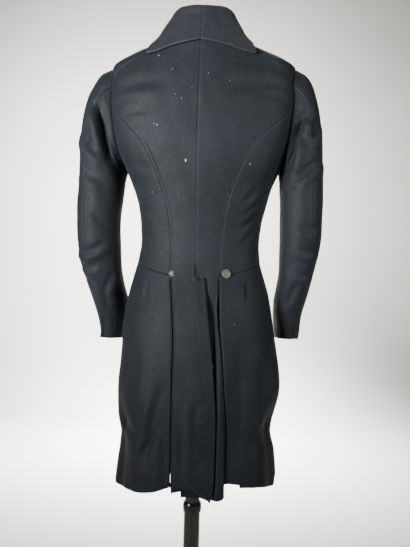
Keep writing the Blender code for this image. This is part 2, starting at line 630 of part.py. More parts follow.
SHAWL_ROWS = 22
LAPEL_ROWS = (3.5, 5.0)   # rows of SHAWL between which the collar becomes the lapel
FALL_SHARES = (0.03, 0.25, 0.5, 0.75, 1.0)


def shawl_section(at, sign):
    """The collar's middle line at a row of SHAWL: up the stand, over the roll, down the fall."""
    rows = np.arange(len(SHAWL["sewn"]))
    size = {name: float(smooth(rows, SHAWL[name], at)) for name in SHAWL}
    roll_place = np.array([np.radians(size["roll_theta"]), size["roll_z"]])
    edge_place = np.array([np.radians(size["edge_theta"]), size["edge_z"]])
    lift = COLLAR_LIFT + (LAPEL_LIFT - COLLAR_LIFT) * ease(at, *LAPEL_ROWS)
    roll, edge = body(*roll_place), lifted(*edge_place, lift)
    far = np.linalg.norm(edge - roll)
    points = []
    reach = size["sewn"] + 0.010
    for share in (1.0, 0.55, 0.16):
        place = roll_place + (edge_place - roll_place) * share * reach / far
        points.append(lifted(*place, STAND_LIFT))
    points.append(roll)
    for share in FALL_SHARES:
        place = roll_place + (edge_place - roll_place) * max(share, 0.0045 / far)
        laid = lifted(*place, lift)
        taut = roll + (edge - roll) * max(share, 0.0045 / far)
        normal = body_normal(*place)
        gap = float(np.dot(taut - laid, normal))
        points.append(laid + normal * max(gap, 0) if share < 1 else edge)
    return np.array(points) * (sign, 1, 1)


def make_shawl(side):
    sign = 1 if side == "left" else -1
    rows = np.linspace(0, len(SHAWL["sewn"]) - 1, SHAWL_ROWS + 1)
    grid = np.array([shawl_section(at, sign) for at in rows])
    cloth(f"shawl_{side}", trimmed(grid), finish="collar", flip=sign < 0)


def make_button(name, x, z):
    """A cloth-covered button, lying on the coat, its face along the surface's normal."""
    theta = theta_at(np.array(x), z)
    centre, normal = lifted(theta, z, NAP + 0.0004), body_normal(theta, z)
    crown = [(BUTTON_R * math.sin(a), BUTTON_DEEP * (0.45 + 0.55 * math.cos(a)))
             for a in np.radians((90, 74, 52, 28))]
    profile = [(0, 0), (BUTTON_R * 0.86, 0)] + crown + [(0, BUTTON_DEEP)]
    made = turned_solid(name, profile, "button", sides=24)
    across = unit(np.cross((0, 0, 1), normal))
    turn = np.stack([across, np.cross(normal, across), normal], axis=1)
    for vertex in made.data.vertices:
        vertex.co = centre + turn @ np.array(vertex.co)


# ---------------------------------------------------------------- the form and its stand
def form_point(theta, z):
    """The form's surface: the coat's, drawn in, the same on both sides, with flat shoulder plates."""
    inset = 0.0105 + 0.0135 * (1 - ease(z, 0.93, 1.06))
    left, right = lifted(theta, z, -inset), lifted(-theta, z, -inset) * (-1, 1, 1)
    slim = left if abs(left[0]) < abs(right[0]) else right
    return np.array([np.clip(slim[0], -FORM_CAP_X, FORM_CAP_X), slim[1], slim[2]])


def make_form():
    heights = np.concatenate([np.linspace(FORM_BOTTOM, 1.36, 17),
                              (1.395, 1.42, 1.44, 1.456, 1.470, 1.483, 1.497, 1.512, 1.528, FORM_TOP)])
    rings = []
    for z in heights:
        ring = [form_point(2 * math.pi * k / FORM_TURNS, z) for k in range(FORM_TURNS)]
        rings.append(np.array(ring))
    middle = rings[0].mean(axis=0)
    foot = middle + (rings[0] - middle) * FORM_FOOT_SHARE
    foot[:, 2] = rings[0][:, 2] = FORM_BOTTOM
    rings[0][:, 2] += FORM_FOOT_ROUND
    top = rings[-1].mean(axis=0)
    crown = top + (rings[-1] - top) * FORM_CROWN_SHARE + (0, 0, FORM_CROWN_RISE)
    rings = [foot, *rings, crown]
    poles = [foot.mean(axis=0), crown.mean(axis=0) + (0, 0, FORM_CROWN_RISE / 2)]
    points = np.concatenate([*rings, poles])
    faces = []
    for i in range(len(rings) - 1):
        for k in range(FORM_TURNS):
            a, b = i * FORM_TURNS + k, i * FORM_TURNS + (k + 1) % FORM_TURNS
            faces.append((a, a + FORM_TURNS, b + FORM_TURNS, b))
    last, low, high = (len(rings) - 1) * FORM_TURNS, len(points) - 2, len(points) - 1
    for k in range(FORM_TURNS):
        faces.append((k, (k + 1) % FORM_TURNS, low))
        faces.append((last + (k + 1) % FORM_TURNS, last + k, high))
    add_object("form_torso", points, faces, "jersey")


def make_stand():
    flange_z = FORM_BOTTOM - STAND_GAP
    flange = [(.022, flange_z - .024), (.026, flange_z - .008), (.055, flange_z - .006), (.055, flange_z)]
    turned_solid("mast", [(0, MAST_FOOT_Z), (MAST_R, MAST_FOOT_Z), (MAST_R, flange_z - .030),
                          *flange, (0, flange_z)], "steel")
    low, high = BOSS_TOP + STAND_GAP, RING_Z - STAND_GAP
    turned_solid("stand_tube", [(TUBE_BORE, low), (TUBE_R, low), (TUBE_R, high), (TUBE_BORE, high)], "steel")
    bulge = [(RING_R - RING_BULGE * (1 - math.sin(a)), RING_Z + RING_HIGH * (0.5 - 0.5 * math.cos(a)))
             for a in np.radians((0, 30, 60, 90, 120, 150, 180))]
    turned_solid("stand_ring", [(TUBE_BORE, RING_Z), *bulge, (TUBE_BORE, RING_Z + RING_HIGH)], "black")
    rim = [(FOOT_R - .003, 0), (FOOT_R, .003), (FOOT_R, FOOT_TOP - .004), (FOOT_R - .004, FOOT_TOP)]
    boss = [(.060, FOOT_TOP + .004), (.034, FOOT_TOP + .010), (.027, BOSS_TOP - .004), (.024, BOSS_TOP)]
    turned_solid("stand_foot", [(0, 0), *rim, *boss, (0, BOSS_TOP)], "black", sides=48)


def main():
    for old in list(bpy.data.objects):
        bpy.data.objects.remove(old)
    for side in ("left", "right"):
        make_back(side)
        make_side(side)
        make_front(side)
        make_skirt(side)
        make_sleeve(side)
        make_shawl(side)
    make_button("hip_button_right", -0.0655, 1.000)
    make_form()
    make_stand()


main()
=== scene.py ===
"""A white tie tailcoat on its limbless dress form and floor stand, built up in full detail.

Laid out as an add-on: its panel in the 3D view's sidebar lists the operators, one for each group
of like pieces and one for the stage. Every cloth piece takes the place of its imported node.
A place on the coat is (theta, z): theta is 0 at the centre back and positive towards the wearer's
left, and z is the height in metres.
"""

import math

import bpy
import mathutils
import numpy as np
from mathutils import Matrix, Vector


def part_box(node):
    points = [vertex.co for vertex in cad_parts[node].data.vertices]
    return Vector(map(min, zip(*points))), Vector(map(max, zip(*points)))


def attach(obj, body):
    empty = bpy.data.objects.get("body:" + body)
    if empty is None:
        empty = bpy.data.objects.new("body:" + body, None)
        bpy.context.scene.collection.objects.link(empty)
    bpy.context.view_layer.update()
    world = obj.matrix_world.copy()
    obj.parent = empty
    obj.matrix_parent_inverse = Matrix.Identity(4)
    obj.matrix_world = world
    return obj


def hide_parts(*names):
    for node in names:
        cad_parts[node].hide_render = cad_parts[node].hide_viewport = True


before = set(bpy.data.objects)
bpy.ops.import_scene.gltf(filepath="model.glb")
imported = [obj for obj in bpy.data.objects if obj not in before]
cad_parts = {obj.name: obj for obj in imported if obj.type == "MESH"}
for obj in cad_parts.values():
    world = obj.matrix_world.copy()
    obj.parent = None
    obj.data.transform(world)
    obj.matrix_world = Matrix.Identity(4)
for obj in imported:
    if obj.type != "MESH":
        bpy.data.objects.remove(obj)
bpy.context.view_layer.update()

bl_info = {
    "name": "White tie tailcoat",
    "version": (1, 0, 0),
    "blender": (4, 5, 0),
    "location": "3D View > Sidebar > Tailcoat",
    "description": "Builds a shawl-collared evening tailcoat on a dress form",
    "category": "Object",
}

# ---------------------------------------------------------------- the cut's fixed sizes, metres
CLOTH = 0.0016            # one wall of wool and its lining
NAP = 0.0005              # bare clearance of one layer lying on another
WAIST_Z = 0.996           # waist seam at the hip buttons
VENT_Z = 0.990            # where the centre back seam ends and the vent starts
HOOK = 0.0014             # the vent's free edges start this far below the seam's end
SEAM_EASE = 0.0006        # the sleeve head meets the armhole this closely
SLEEVE_HEAD_EASE = (1.0, 0.85, 0.55, 0.25, 0.08)  # share of the armhole's shape kept by the first rings
HIND_SEAM, FORE_SEAM = 62.0, 225.0          # the sleeve's two seams, degrees round from outside
COLLAR_LIFT = 0.0036      # middle of the collar's fall above the coat's surface
LAPEL_LIFT = 0.0054       # and of the lapel, on the rounder chest
STAND_LIFT = -0.0056      # middle of the collar's stand, inside the neck edge
BUTTON_R, BUTTON_DEEP = 0.0100, 0.0042
HIP_BUTTON = (-0.0655, 1.000)               # x and z of the covered button that is left
LOST_BUTTON = (0.0485, 1.000)               # and of the torn threads where its fellow was
FORM_CAP_X = 0.184        # the form's flat shoulder plates
SHOULDER_ROW = 2.35       # where the shoulder seam meets the neck, as a row of SHAWL
ROUND_RADIUS = 0.15       # near enough the trunk's radius, to turn an angle into a length

# The coat's outer surface, level by level: half widths to either side, depths behind and in
# front of the middle line, the middle line's own y, and how square the section is (2 = ellipse).
LEVELS = {
    "z":      (.500, .555, .610, .655, .700, .755, .800, .850, .900, .950, .994, 1.030, 1.070,
               1.110, 1.150, 1.190, 1.228, 1.262, 1.310, 1.360, 1.405, 1.440, 1.457, 1.470,
               1.482, 1.493, 1.506, 1.523, 1.545, 1.585),
    "left":   (.176, .173, .166, .164, .173, .174, .170, .167, .164, .155, .144, .1345, .130,
               .132, .138, .152, .167, .183, .1965, .2035, .2070, .2075, .2050, .1880,
               .1620, .1310, .1020, .0790, .0660, .0600),
    "right":  (.186, .184, .180, .170, .177, .187, .184, .176, .1675, .159, .147, .1365, .134,
               .138, .1475, .158, .174, .186, .1975, .2035, .2070, .2075, .2050, .1880,
               .1620, .1310, .1020, .0790, .0660, .0600),
    "back":   (.136, .136, .135, .134, .133, .132, .131, .129, .125, .114, .102, .096, .094,
               .098, .106, .113, .119, .122, .123, .121, .116, .109, .104, .099,
               .094, .087, .079, .070, .061, .054),
    "front":  (.118, .118, .118, .118, .120, .122, .122, .120, .116, .112, .108, .106, .105,
               .108, .113, .119, .124, .127, .127, .121, .111, .098, .090, .083,
               .076, .069, .062, .056, .052, .050),
    "middle": (0.0, 0.0, 0.0, 0.0, 0.0, 0.0, 0.0, 0.0, 0.0, 0.0, 0.0, 0.0, 0.0,
               0.0, 0.0, 0.0, 0.0, 0.0, 0.0, 0.0, 0.0, 0.0, .001, .003,
               .006, .010, .013, .015, .015, .013),
    "square": (2.1, 2.1, 2.1, 2.1, 2.1, 2.1, 2.1, 2.1, 2.1, 2.1, 2.1, 2.1, 2.1,
               2.15, 2.2, 2.3, 2.45, 2.6, 2.8, 2.8, 2.55, 2.2, 2.05, 1.95,
               1.9, 1.9, 1.9, 2.0, 2.0, 2.0),
}
# Seams of the back, as half the distance across at each height.
SIDE_BACK_SEAM = {
    "z":     (WAIST_Z, 1.048, 1.090, 1.120, 1.154, 1.190, 1.222, 1.250, 1.279, 1.304, 1.330, 1.357),
    "x":     (.0520, .0535, .0565, .0600, .0665, .0785, .0915, .1050, .1215, .1440, .1695, .1960),
}
PLEAT = {
    "z":     (.540, .600, .680, .760, .840, .910, WAIST_Z),
    "left":  (.0370, .0385, .0395, .0395, .0390, .0430, .0520),
    "right": (.0780, .0760, .0745, .0695, .0620, .0555, .0520),
}
# The free edges below the vent: the left back skirt's crosses to the wearer's right.
VENT = {
    "z":     (.530, .580, .680, .785, .885, .945, VENT_Z - HOOK),
    "left":  (-.0465, -.0525, -.0530, -.0460, -.0345, -.0265, -.0215),
    "right": (.0160, .0130, .0080, .0020, -.0040, -.0060, -.0010),
}
# Bottom edges: z from the inner corner to the outer corner of each skirt, evenly spaced.
HEM_BACK = {"left": (.534, .553, .564, .567, .565), "right": (.556, .550, .543, .536, .541)}
HEM_SKIRT = {"left": (.560, .544, .540, .536, .533), "right": (.568, .566, .562, .558, .557)}
CORNER = 0.026            # radius of each skirt's front bottom corner
# The armhole, from the shoulder seam down the back, under, up the front and over the top.
ARMHOLE = {
    "theta": (76.5, 76.2, 76.0, 75.8, 78.0, 83.5, 91.0, 99.0, 106.0, 110.0, 109.5, 106.0, 99.0,
              90.0, 82.0),
    "z":     (1.417, 1.388, 1.357, 1.310, 1.268, 1.239, 1.228, 1.237, 1.265, 1.310, 1.360,
              1.405, 1.440, 1.4565, 1.442),
}
AT_SHOULDER, AT_SIDE_BACK, AT_SIDE_FRONT, AT_ROUND = 0, 2, 7, 15   # places in that table
SHOULDER_SEAM = {"x": (.186, .168, .148, .122, .094), "z": (1.4325, 1.444, 1.4545, 1.473, 1.4965)}
SIDE_FRONT_SEAM = {"theta": (103.0, 102.5, 101.0, 99.0), "z": (1.024, 1.090, 1.165, 1.237)}
WAIST = {"theta": (0.0, 28.0, 50.0, 70.0, 90.0, 103.0, 114.0, 130.0, 144.0, 152.5),
         "z": (.994, .996, 1.004, 1.016, 1.024, 1.024, 1.019, 1.002, .976, .952)}
TAIL_FRONT = {"theta": (90.5, 91.0, 91.5, 92.0, 92.5, 95.0, 100.0, 107.0, 114.0),
              "z": (.533, .600, .700, .800, .890, .935, .970, 1.000, 1.019)}
FRONT_EDGE = {"theta": (152.5, 153.3, 153.6), "z": (.952, .990, 1.030)}
# The shawl collar from the centre back to its end at the waist: where it rolls, where its outer
# edge lies, and how far from the roll the coat's own edge is sewn to it.
SHAWL = {
    "roll_theta": (0.0, 30.0, 60.0, 88.0, 102.0, 116.0, 130.0, 140.0, 147.0, 151.0, 153.0, 154.0,
                   154.5),
    "roll_z":     (1.574, 1.576, 1.579, 1.577, 1.567, 1.546, 1.507, 1.448, 1.370, 1.280, 1.185, 1.100,
                   1.040),
    "edge_theta": (0.0, 31.0, 52.5, 62.0, 88.0, 112.0, 119.0, 121.6, 124.5, 129.0, 136.0, 145.0,
                   152.0),
    "edge_z":     (1.4905, 1.4795, 1.4635, 1.4900, 1.5030, 1.4700, 1.4220, 1.3650, 1.3000, 1.2250,
                   1.1450, 1.0800, 1.0330),
    "sewn":       (.050, .051, .053, .047, .041, .032, .018, .008, .006, .006, .006, .006, .005),
}
# The sleeve, ring by ring: its outermost and innermost points on either side of the wearer, the
# heights of those points, its middle's y and its half depth.
SLEEVE = {
    "left_out":  (.2060, .2320, .2465, .2610, .2715, .2740, .2740, .2765, .2755, .2700, .2560, .2440,
                  .2330, .2275),
    "right_out": (.2060, .2290, .2430, .2540, .2630, .2690, .2704, .2718, .2695, .2620, .2520, .2420,
                  .2345, .2300),
    "z_out":     (1.4565, 1.4430, 1.4220, 1.3880, 1.3350, 1.2700, 1.2020, 1.1400, 1.0800, 1.0300, .9800,
                  .9350, .8930, .8480),
    "left_in":   (.1710, .1725, .1730, .1735, .1745, .1770, .1800, .1795, .1780, .1770, .1715, .1640,
                  .1620, .1640),
    "right_in":  (.1740, .1745, .1755, .1760, .1770, .1785, .1790, .1790, .1795, .1800, .1760, .1710,
                  .1720, .1740),
    "z_in":      (1.2270, 1.2210, 1.2130, 1.2020, 1.1850, 1.1600, 1.1250, 1.0880, 1.0480, 1.0100, .9720,
                  .9320, .8920, .8480),
    "y":         (-.0040, -.0040, -.0030, -.0010, .0010, .0030, .0050, .0060, .0040, -.0030, -.0140,
                  -.0290, -.0430, -.0560),
    "deep":      (.0600, .0620, .0640, .0655, .0655, .0640, .0615, .0600, .0590, .0575, .0560, .0550,
                  .0540, .0540),
}
RIGHT_CUFF_HIGHER = 0.011
# The skirts' largest folds: a line from its upper to its lower end, its width and how far it
# stands out (or, negative, in). Thetas are degrees, on the named side.
FOLDS = (
    # side, upper theta, upper z, lower theta, lower z, width, stands out
    ("left", 60.0, 0.80, 44.0, 0.56, 0.020, 0.006),
    ("left", 74.0, 0.78, 66.0, 0.54, 0.018, -0.006),
    ("left", 25.0, 0.82, 20.0, 0.54, 0.012, -0.006),
    ("right", 37.0, 0.86, 36.0, 0.55, 0.013, -0.010),
    ("right", 62.0, 0.80, 55.0, 0.56, 0.022, 0.005),
    ("right", 78.0, 0.76, 74.0, 0.54, 0.018, -0.005),
)
# The sleeves' largest folds: turn round the sleeve, ring, spread over both, and depth.
SLEEVE_FOLDS = (
    # side, degrees, ring, spread in degrees, spread in rings, stands out
    ("left", 108.0, 3.1, 42.0, 0.75, -0.006),
    ("right", 112.0, 3.0, 44.0, 0.75, -0.007),
    ("left", 105.0, 9.0, 30.0, 0.7, -0.004),
    ("right", 110.0, 9.0, 30.0, 0.8, -0.004),
)


# ---------------------------------------------------------------- curves
DEGREE_LONG = 0.0025      # a degree round the trunk, in metres of cloth


def smooth(xs, ys, x):
    """The cubic through a table's points that never overshoots them."""
    xs, ys, x = (np.asarray(v, float) for v in (xs, ys, x))
    steps = np.diff(xs)
    rise = np.diff(ys) / steps
    slope = np.concatenate([rise[:1], np.zeros(len(xs) - 2), rise[-1:]])
    same = rise[:-1] * rise[1:] > 0
    early, late = 2 * steps[1:] + steps[:-1], steps[1:] + 2 * steps[:-1]
    safe = np.where(same, rise[:-1], 1), np.where(same, rise[1:], 1)
    slope[1:-1] = np.where(same, (early + late) / (early / safe[0] + late / safe[1]), 0)
    i = np.clip(np.searchsorted(xs, x) - 1, 0, len(xs) - 2)
    t = (x - xs[i]) / steps[i]
    here, there = ys[i], ys[i + 1]
    gain = there - here
    bend = (1 - t) * (slope[i] * steps[i] - gain) + t * (gain - slope[i + 1] * steps[i])
    return here + t * (there - here) + t * (1 - t) * bend


def trace(points, count):
    """count + 1 places, evenly spaced along the smooth line through a few (theta or x, z) points."""
    points = np.asarray(points, float)
    in_degrees = np.abs(points[:, 0]).max() > 2
    scale = np.array([DEGREE_LONG, 1.0]) if in_degrees else np.ones(2)
    far = np.concatenate([[0], np.cumsum(np.linalg.norm(np.diff(points * scale, axis=0), axis=1))])
    at = np.linspace(0, far[-1], count + 1)
    return np.stack([smooth(far, points[:, 0], at), smooth(far, points[:, 1], at)], axis=1)


def ease(value, low, high):
    """0 below low, 1 above high, and smooth between."""
    t = np.clip((np.asarray(value, float) - low) / (high - low), 0, 1)
    return t * t * (3 - 2 * t)


def unit(vectors):
    return vectors / np.linalg.norm(vectors, axis=-1, keepdims=True)


# ---------------------------------------------------------------- the body surface
def level(name, z):
    """One column of LEVELS at a height."""
    return smooth(LEVELS["z"], LEVELS[name], z)


def fold_height(theta, z):
    """How far the folds move the surface at a place."""
    total = np.zeros(np.broadcast(theta, z).shape)
    for side, top_theta, top_z, low_theta, low_z, width, out in FOLDS:
        sign = 1 if side == "left" else -1
        down = (top_z - z) / (top_z - low_z)
        line = np.radians(top_theta + (low_theta - top_theta) * np.clip(down, 0, 1.2))
        across = (sign * theta - line) * ROUND_RADIUS
        total = total + out * np.exp(-(across / width) ** 2) * ease(down, 0, 0.45) * (sign * theta > 0)
    return total


def body(theta, z):
    """The point of the coat's outer surface at (theta, z), theta in radians."""
    theta, z = np.broadcast_arrays(np.asarray(theta, float), np.asarray(z, float))
    sine, cosine = np.sin(theta), np.cos(theta)
    wide = np.where(sine > 0, level("left", z), level("right", z))
    deep = np.where(cosine > 0, level("back", z), level("front", z))
    power = level("square", z)
    r = (np.abs(sine / wide) ** power + np.abs(cosine / deep) ** power) ** (-1 / power)
    r = r + fold_height(theta, z)
    return np.stack([r * sine, level("middle", z) + r * cosine, z], axis=-1)


def body_normal(theta, z):
    """The way the coat's surface faces there."""
    step = 0.002
    along = body(theta + step, z) - body(theta - step, z)
    up = body(theta, z + step) - body(theta, z - step)
    return unit(np.cross(up, along))


def lifted(theta, z, lift):
    """The body's point moved out of the surface by lift, an array or a number."""
    return body(theta, z) + np.asarray(lift)[..., None] * body_normal(theta, z)


def theta_at(x, z):
    """The angle, on the back, of the place that is x to the left of the middle."""
    low, high = np.full(np.shape(x), -math.pi / 2), np.full(np.shape(x), math.pi / 2)
    for _ in range(40):
        middle = (low + high) / 2
        less = body(middle, z)[..., 0] < x
        low, high = np.where(less, middle, low), np.where(less, high, middle)
    return (low + high) / 2


def back_places(xs, zs, count, sign=1):
    """A seam of the back given by x: places in (theta, z)."""
    line = trace(np.stack([sign * np.asarray(xs), zs], axis=1), count)
    return np.stack([theta_at(line[:, 0], line[:, 1]), line[:, 1]], axis=1)


def turned_places(thetas, zs, count, sign=1):
    """A seam given by degrees round the body: places in (theta, z)."""
    line = trace(np.stack([thetas, zs], axis=1), count)
    return np.stack([sign * np.radians(line[:, 0]), line[:, 1]], axis=1)


# ---------------------------------------------------------------- seams shared by pieces
def armhole(start, end, count, sign):
    """Places along the armhole between two of its table's rows, on a closed smooth curve."""
    rows = np.stack([np.radians(ARMHOLE["theta"]), ARMHOLE["z"]], axis=1)
    at = np.linspace(start, end, count + 1)
    i = np.floor(at).astype(int)
    t = (at - i)[:, None]
    a, b, c, d = (rows[(i + k) % AT_ROUND] for k in (-1, 0, 1, 2))
    line = 0.5 * (2 * b + (c - a) * t + (2 * a - 5 * b + 4 * c - d) * t ** 2
                  + (3 * b - a - 3 * c + d) * t ** 3)
    return line * (sign, 1)


def neck_places(first, last, count, sign):
    """Where the coat's own edge is sewn to the shawl, between two of the SHAWL table's rows."""
    rows = np.arange(len(SHAWL["sewn"]))
    at = np.linspace(first, last, count + 1)
    columns = {name: smooth(rows, SHAWL[name], at) for name in SHAWL}
    roll = body(np.radians(columns["roll_theta"]), columns["roll_z"])
    edge = body(np.radians(columns["edge_theta"]), columns["edge_z"])
    far = np.linalg.norm(edge - roll, axis=1)
    share = np.clip(columns["sewn"] / far, 0, 0.6)
    theta = np.radians(columns["roll_theta"] + share * (columns["edge_theta"] - columns["roll_theta"]))
    z = columns["roll_z"] + share * (columns["edge_z"] - columns["roll_z"])
    return np.stack([sign * theta, z], axis=1)


def shoulder_seam(count, sign):
    """From the neck out to the armhole."""
    start = neck_places(SHOULDER_ROW, SHOULDER_ROW + 0.01, 1, sign)[:1]
    inner = back_places(SHOULDER_SEAM["x"], SHOULDER_SEAM["z"], 4, 1)[::-1] * (sign, 1)
    end = armhole(AT_SHOULDER, AT_SHOULDER + 1, 1, sign)[:1]
    points = np.concatenate([start, inner, end])
    points[:, 0] = np.degrees(np.abs(points[:, 0]))
    return turned_places(points[:, 0], points[:, 1], count, sign)


def shares(*edges):
    """How far along each place of an edge is, from 0 to 1, averaged over opposite edges."""
    total = 0
    for edge in edges:
        far = np.cumsum(np.linalg.norm(np.diff(edge * (ROUND_RADIUS, 1), axis=0), axis=1))
        total = total + np.concatenate([[0], far]) / far[-1]
    return total / len(edges)


def patch(inner, outer, bottom, top):
    """Places filling four edges: inner and outer run upwards, bottom and top run outwards."""
    u = shares(bottom, top)[None, :, None]
    v = shares(inner, outer)[:, None, None]
    sides = (1 - u) * inner[:, None] + u * outer[:, None]
    ends = (1 - v) * bottom[None] + v * top[None]
    corners = (1 - v) * ((1 - u) * inner[0] + u * outer[0]) + v * ((1 - u) * inner[-1] + u * outer[-1])
    return sides + ends - corners


# ---------------------------------------------------------------- folds in the cloth
# Lines of (x, z) on the coat's back, metres, each with its half width and depth: the cloth
# sinks along the line and stands up to the left of it as it runs.
BACK_FOLDS = (
    (((0.200, 1.385), (0.160, 1.392), (0.110, 1.398), (0.060, 1.400)), 0.016, 0.0026),
    (((0.196, 1.352), (0.160, 1.362), (0.120, 1.366)), 0.011, 0.0018),
    (((0.166, 1.331), (0.135, 1.336), (0.104, 1.334)), 0.007, 0.0015),
    (((-0.045, 1.388), (-0.105, 1.392), (-0.150, 1.396), (-0.195, 1.394)), 0.016, -0.0028),
    (((-0.120, 1.372), (-0.160, 1.373), (-0.192, 1.366)), 0.009, -0.0016),
    (((-0.128, 1.190), (-0.112, 1.166), (-0.095, 1.146)), 0.007, 0.0014),
    (((-0.146, 1.168), (-0.124, 1.148), (-0.102, 1.124)), 0.006, 0.0016),
    (((-0.138, 1.142), (-0.116, 1.116), (-0.090, 1.094)), 0.006, 0.0017),
    (((-0.131, 1.112), (-0.112, 1.086), (-0.090, 1.056)), 0.006, 0.0013),
    (((-0.058, 1.203), (-0.072, 1.200), (-0.088, 1.199)), 0.004, 0.0009),
    (((-0.056, 1.172), (-0.072, 1.169), (-0.086, 1.170)), 0.004, 0.0010),
    (((-0.052, 1.136), (-0.070, 1.134)), 0.004, 0.0006),
    (((0.118, 1.090), (0.100, 1.068), (0.086, 1.050)), 0.006, 0.0010),
    (((0.128, 1.146), (0.108, 1.130), (0.092, 1.122)), 0.007, 0.0009),
    (((0.140, 1.236), (0.116, 1.222), (0.092, 1.216)), 0.009, 0.0010),
)
TAIL_FOLDS = (
    (((0.060, 0.772), (0.070, 0.722), (0.084, 0.660), (0.098, 0.600)), 0.010, 0.0042),
    (((0.062, 0.690), (0.078, 0.650), (0.100, 0.618)), 0.008, 0.0026),
    (((0.130, 0.840), (0.134, 0.740), (0.126, 0.640)), 0.020, -0.0040),
    (((0.150, 0.700), (0.140, 0.670), (0.118, 0.655)), 0.010, 0.0030),
    (((0.158, 0.740), (0.150, 0.772), (0.132, 0.800)), 0.010, 0.0022),
    (((0.092, 0.596), (0.076, 0.588), (0.064, 0.582)), 0.006, 0.0012),
    (((0.104, 0.982), (0.103, 0.940)), 0.004, 0.0018),
    (((-0.108, 0.984), (-0.109, 0.944)), 0.004, 0.0022),
    (((0.012, 0.700), (0.014, 0.640), (0.012, 0.570)), 0.008, -0.0016),
    (((-0.018, 0.740), (-0.010, 0.700), (-0.016, 0.655)), 0.009, 0.0018),
    (((-0.036, 0.742), (-0.026, 0.733), (-0.014, 0.735)), 0.006, 0.0012),
    (((-0.040, 0.680), (-0.030, 0.674), (-0.020, 0.678)), 0.006, 0.0012),
    (((-0.044, 0.630), (-0.030, 0.620), (-0.012, 0.622)), 0.006, 0.0012),
    (((-0.098, 0.870), (-0.104, 0.760), (-0.104, 0.640), (-0.108, 0.570)), 0.013, 0.0050),
    (((-0.150, 0.840), (-0.156, 0.730), (-0.150, 0.640)), 0.016, -0.0038),
    (((-0.170, 0.700), (-0.160, 0.676), (-0.140, 0.662)), 0.010, 0.0026),
    (((-0.128, 0.760), (-0.134, 0.680), (-0.130, 0.600)), 0.010, 0.0020),
)
SLEEVE_CREASES = {
    "left": (
        (((0.238, 1.374), (0.222, 1.352), (0.210, 1.318), (0.204, 1.282), (0.188, 1.240)),
         0.013, 0.0120),
        (((0.264, 1.320), (0.248, 1.288), (0.226, 1.262), (0.200, 1.236)), 0.011, 0.0052),
        (((0.256, 1.228), (0.236, 1.208), (0.206, 1.196)), 0.012, 0.0030),
        (((0.268, 1.054), (0.250, 1.040), (0.226, 1.046), (0.200, 1.064)), 0.008, 0.0042),
        (((0.262, 1.016), (0.240, 1.006), (0.214, 1.014)), 0.007, 0.0028),
        (((0.226, 0.982), (0.206, 0.950), (0.196, 0.916)), 0.008, 0.0034),
        (((0.186, 1.004), (0.200, 0.966), (0.210, 0.940)), 0.007, -0.0026),
        (((0.230, 1.136), (0.214, 1.110), (0.190, 1.098)), 0.010, 0.0020),
    ),
    "right": (
        (((-0.242, 1.352), (-0.222, 1.342), (-0.206, 1.318), (-0.196, 1.272), (-0.186, 1.222)),
         0.012, -0.0120),
        (((-0.208, 1.330), (-0.222, 1.300), (-0.228, 1.268)), 0.008, -0.0060),
        (((-0.246, 1.336), (-0.242, 1.306), (-0.229, 1.276)), 0.008, -0.0044),
        (((-0.268, 1.258), (-0.240, 1.234), (-0.208, 1.204), (-0.190, 1.186)), 0.009, -0.0056),
        (((-0.196, 1.186), (-0.212, 1.190), (-0.226, 1.206)), 0.007, -0.0030),
        (((-0.262, 1.110), (-0.240, 1.098), (-0.216, 1.104)), 0.008, -0.0026),
        (((-0.264, 1.058), (-0.240, 1.050), (-0.216, 1.060)), 0.007, -0.0030),
        (((-0.252, 1.006), (-0.230, 1.000), (-0.210, 1.008)), 0.007, -0.0026),
        (((-0.222, 0.992), (-0.208, 0.960), (-0.196, 0.930)), 0.008, -0.0030),
    ),
}
# The waves of slack: the way each runs, in radians, its length in metres, and where it starts.
SLACK = ((0.3, 0.083, 0.0), (1.1, 0.061, 1.7), (2.2, 0.097, 4.1), (2.8, 0.047, 2.6), (1.7, 0.131, 5.2))


def creased(points, normals, folds, depth=1.0):
    """How far a list of folds moves each point along its normal."""
    x, z = points[..., 0], points[..., 2]
    total = np.zeros(x.shape)
    for line, width, deep in folds:
        line = trace(line, 12)
        lengths = np.linalg.norm(np.diff(line, axis=0), axis=1)
        started = np.concatenate([[0], np.cumsum(lengths)])
        nearest, side, along = np.full(x.shape, np.inf), np.ones(x.shape), np.zeros(x.shape)
        for (ax, az), (bx, bz), length, before in zip(line, line[1:], lengths, started):
            sx, sz = (bx - ax) / length, (bz - az) / length
            t = np.clip((x - ax) * sx + (z - az) * sz, 0, length)
            dx, dz = x - ax - t * sx, z - az - t * sz
            far = np.hypot(dx, dz)
            near = far < nearest
            nearest = np.where(near, far, nearest)
            side = np.where(near, np.sign(sx * dz - sz * dx), side)
            along = np.where(near, (before + t) / started[-1], along)
        across = nearest / width * side * np.sign(deep)
        taper = np.clip(np.sin(math.pi * along), 0, 1) ** 0.8
        shape = 0.75 * np.exp(-(across - 1.6) ** 2) - np.exp(-across ** 2)
        total += abs(deep) * taper * shape
    return depth * total * ease(normals[..., 1], -0.1, 0.3)


def slack(points):
    """Long shallow waves, so that no stretch of cloth is quite even."""
    x, z = points[..., 0], points[..., 2]
    waves = [np.sin((x * math.cos(turn) + z * math.sin(turn)) * 2 * math.pi / wave + start)
             for turn, wave, start in SLACK]
    return sum(waves) / len(waves)


# ---------------------------------------------------------------- cloth panels
def spans(grid):
    """Distance of every point of a grid from its bottom, top, inner and outer edge."""
    up = np.linalg.norm(np.diff(grid, axis=0), axis=2)
    out = np.linalg.norm(np.diff(grid, axis=1), axis=2)
    up = np.concatenate([np.zeros((1, grid.shape[1])), np.cumsum(up, axis=0)])
    out = np.concatenate([np.zeros((grid.shape[0], 1)), np.cumsum(out, axis=1)], axis=1)
    return {"bottom": up, "top": up[-1:] - up, "inner": out, "outer": out[:, -1:] - out}


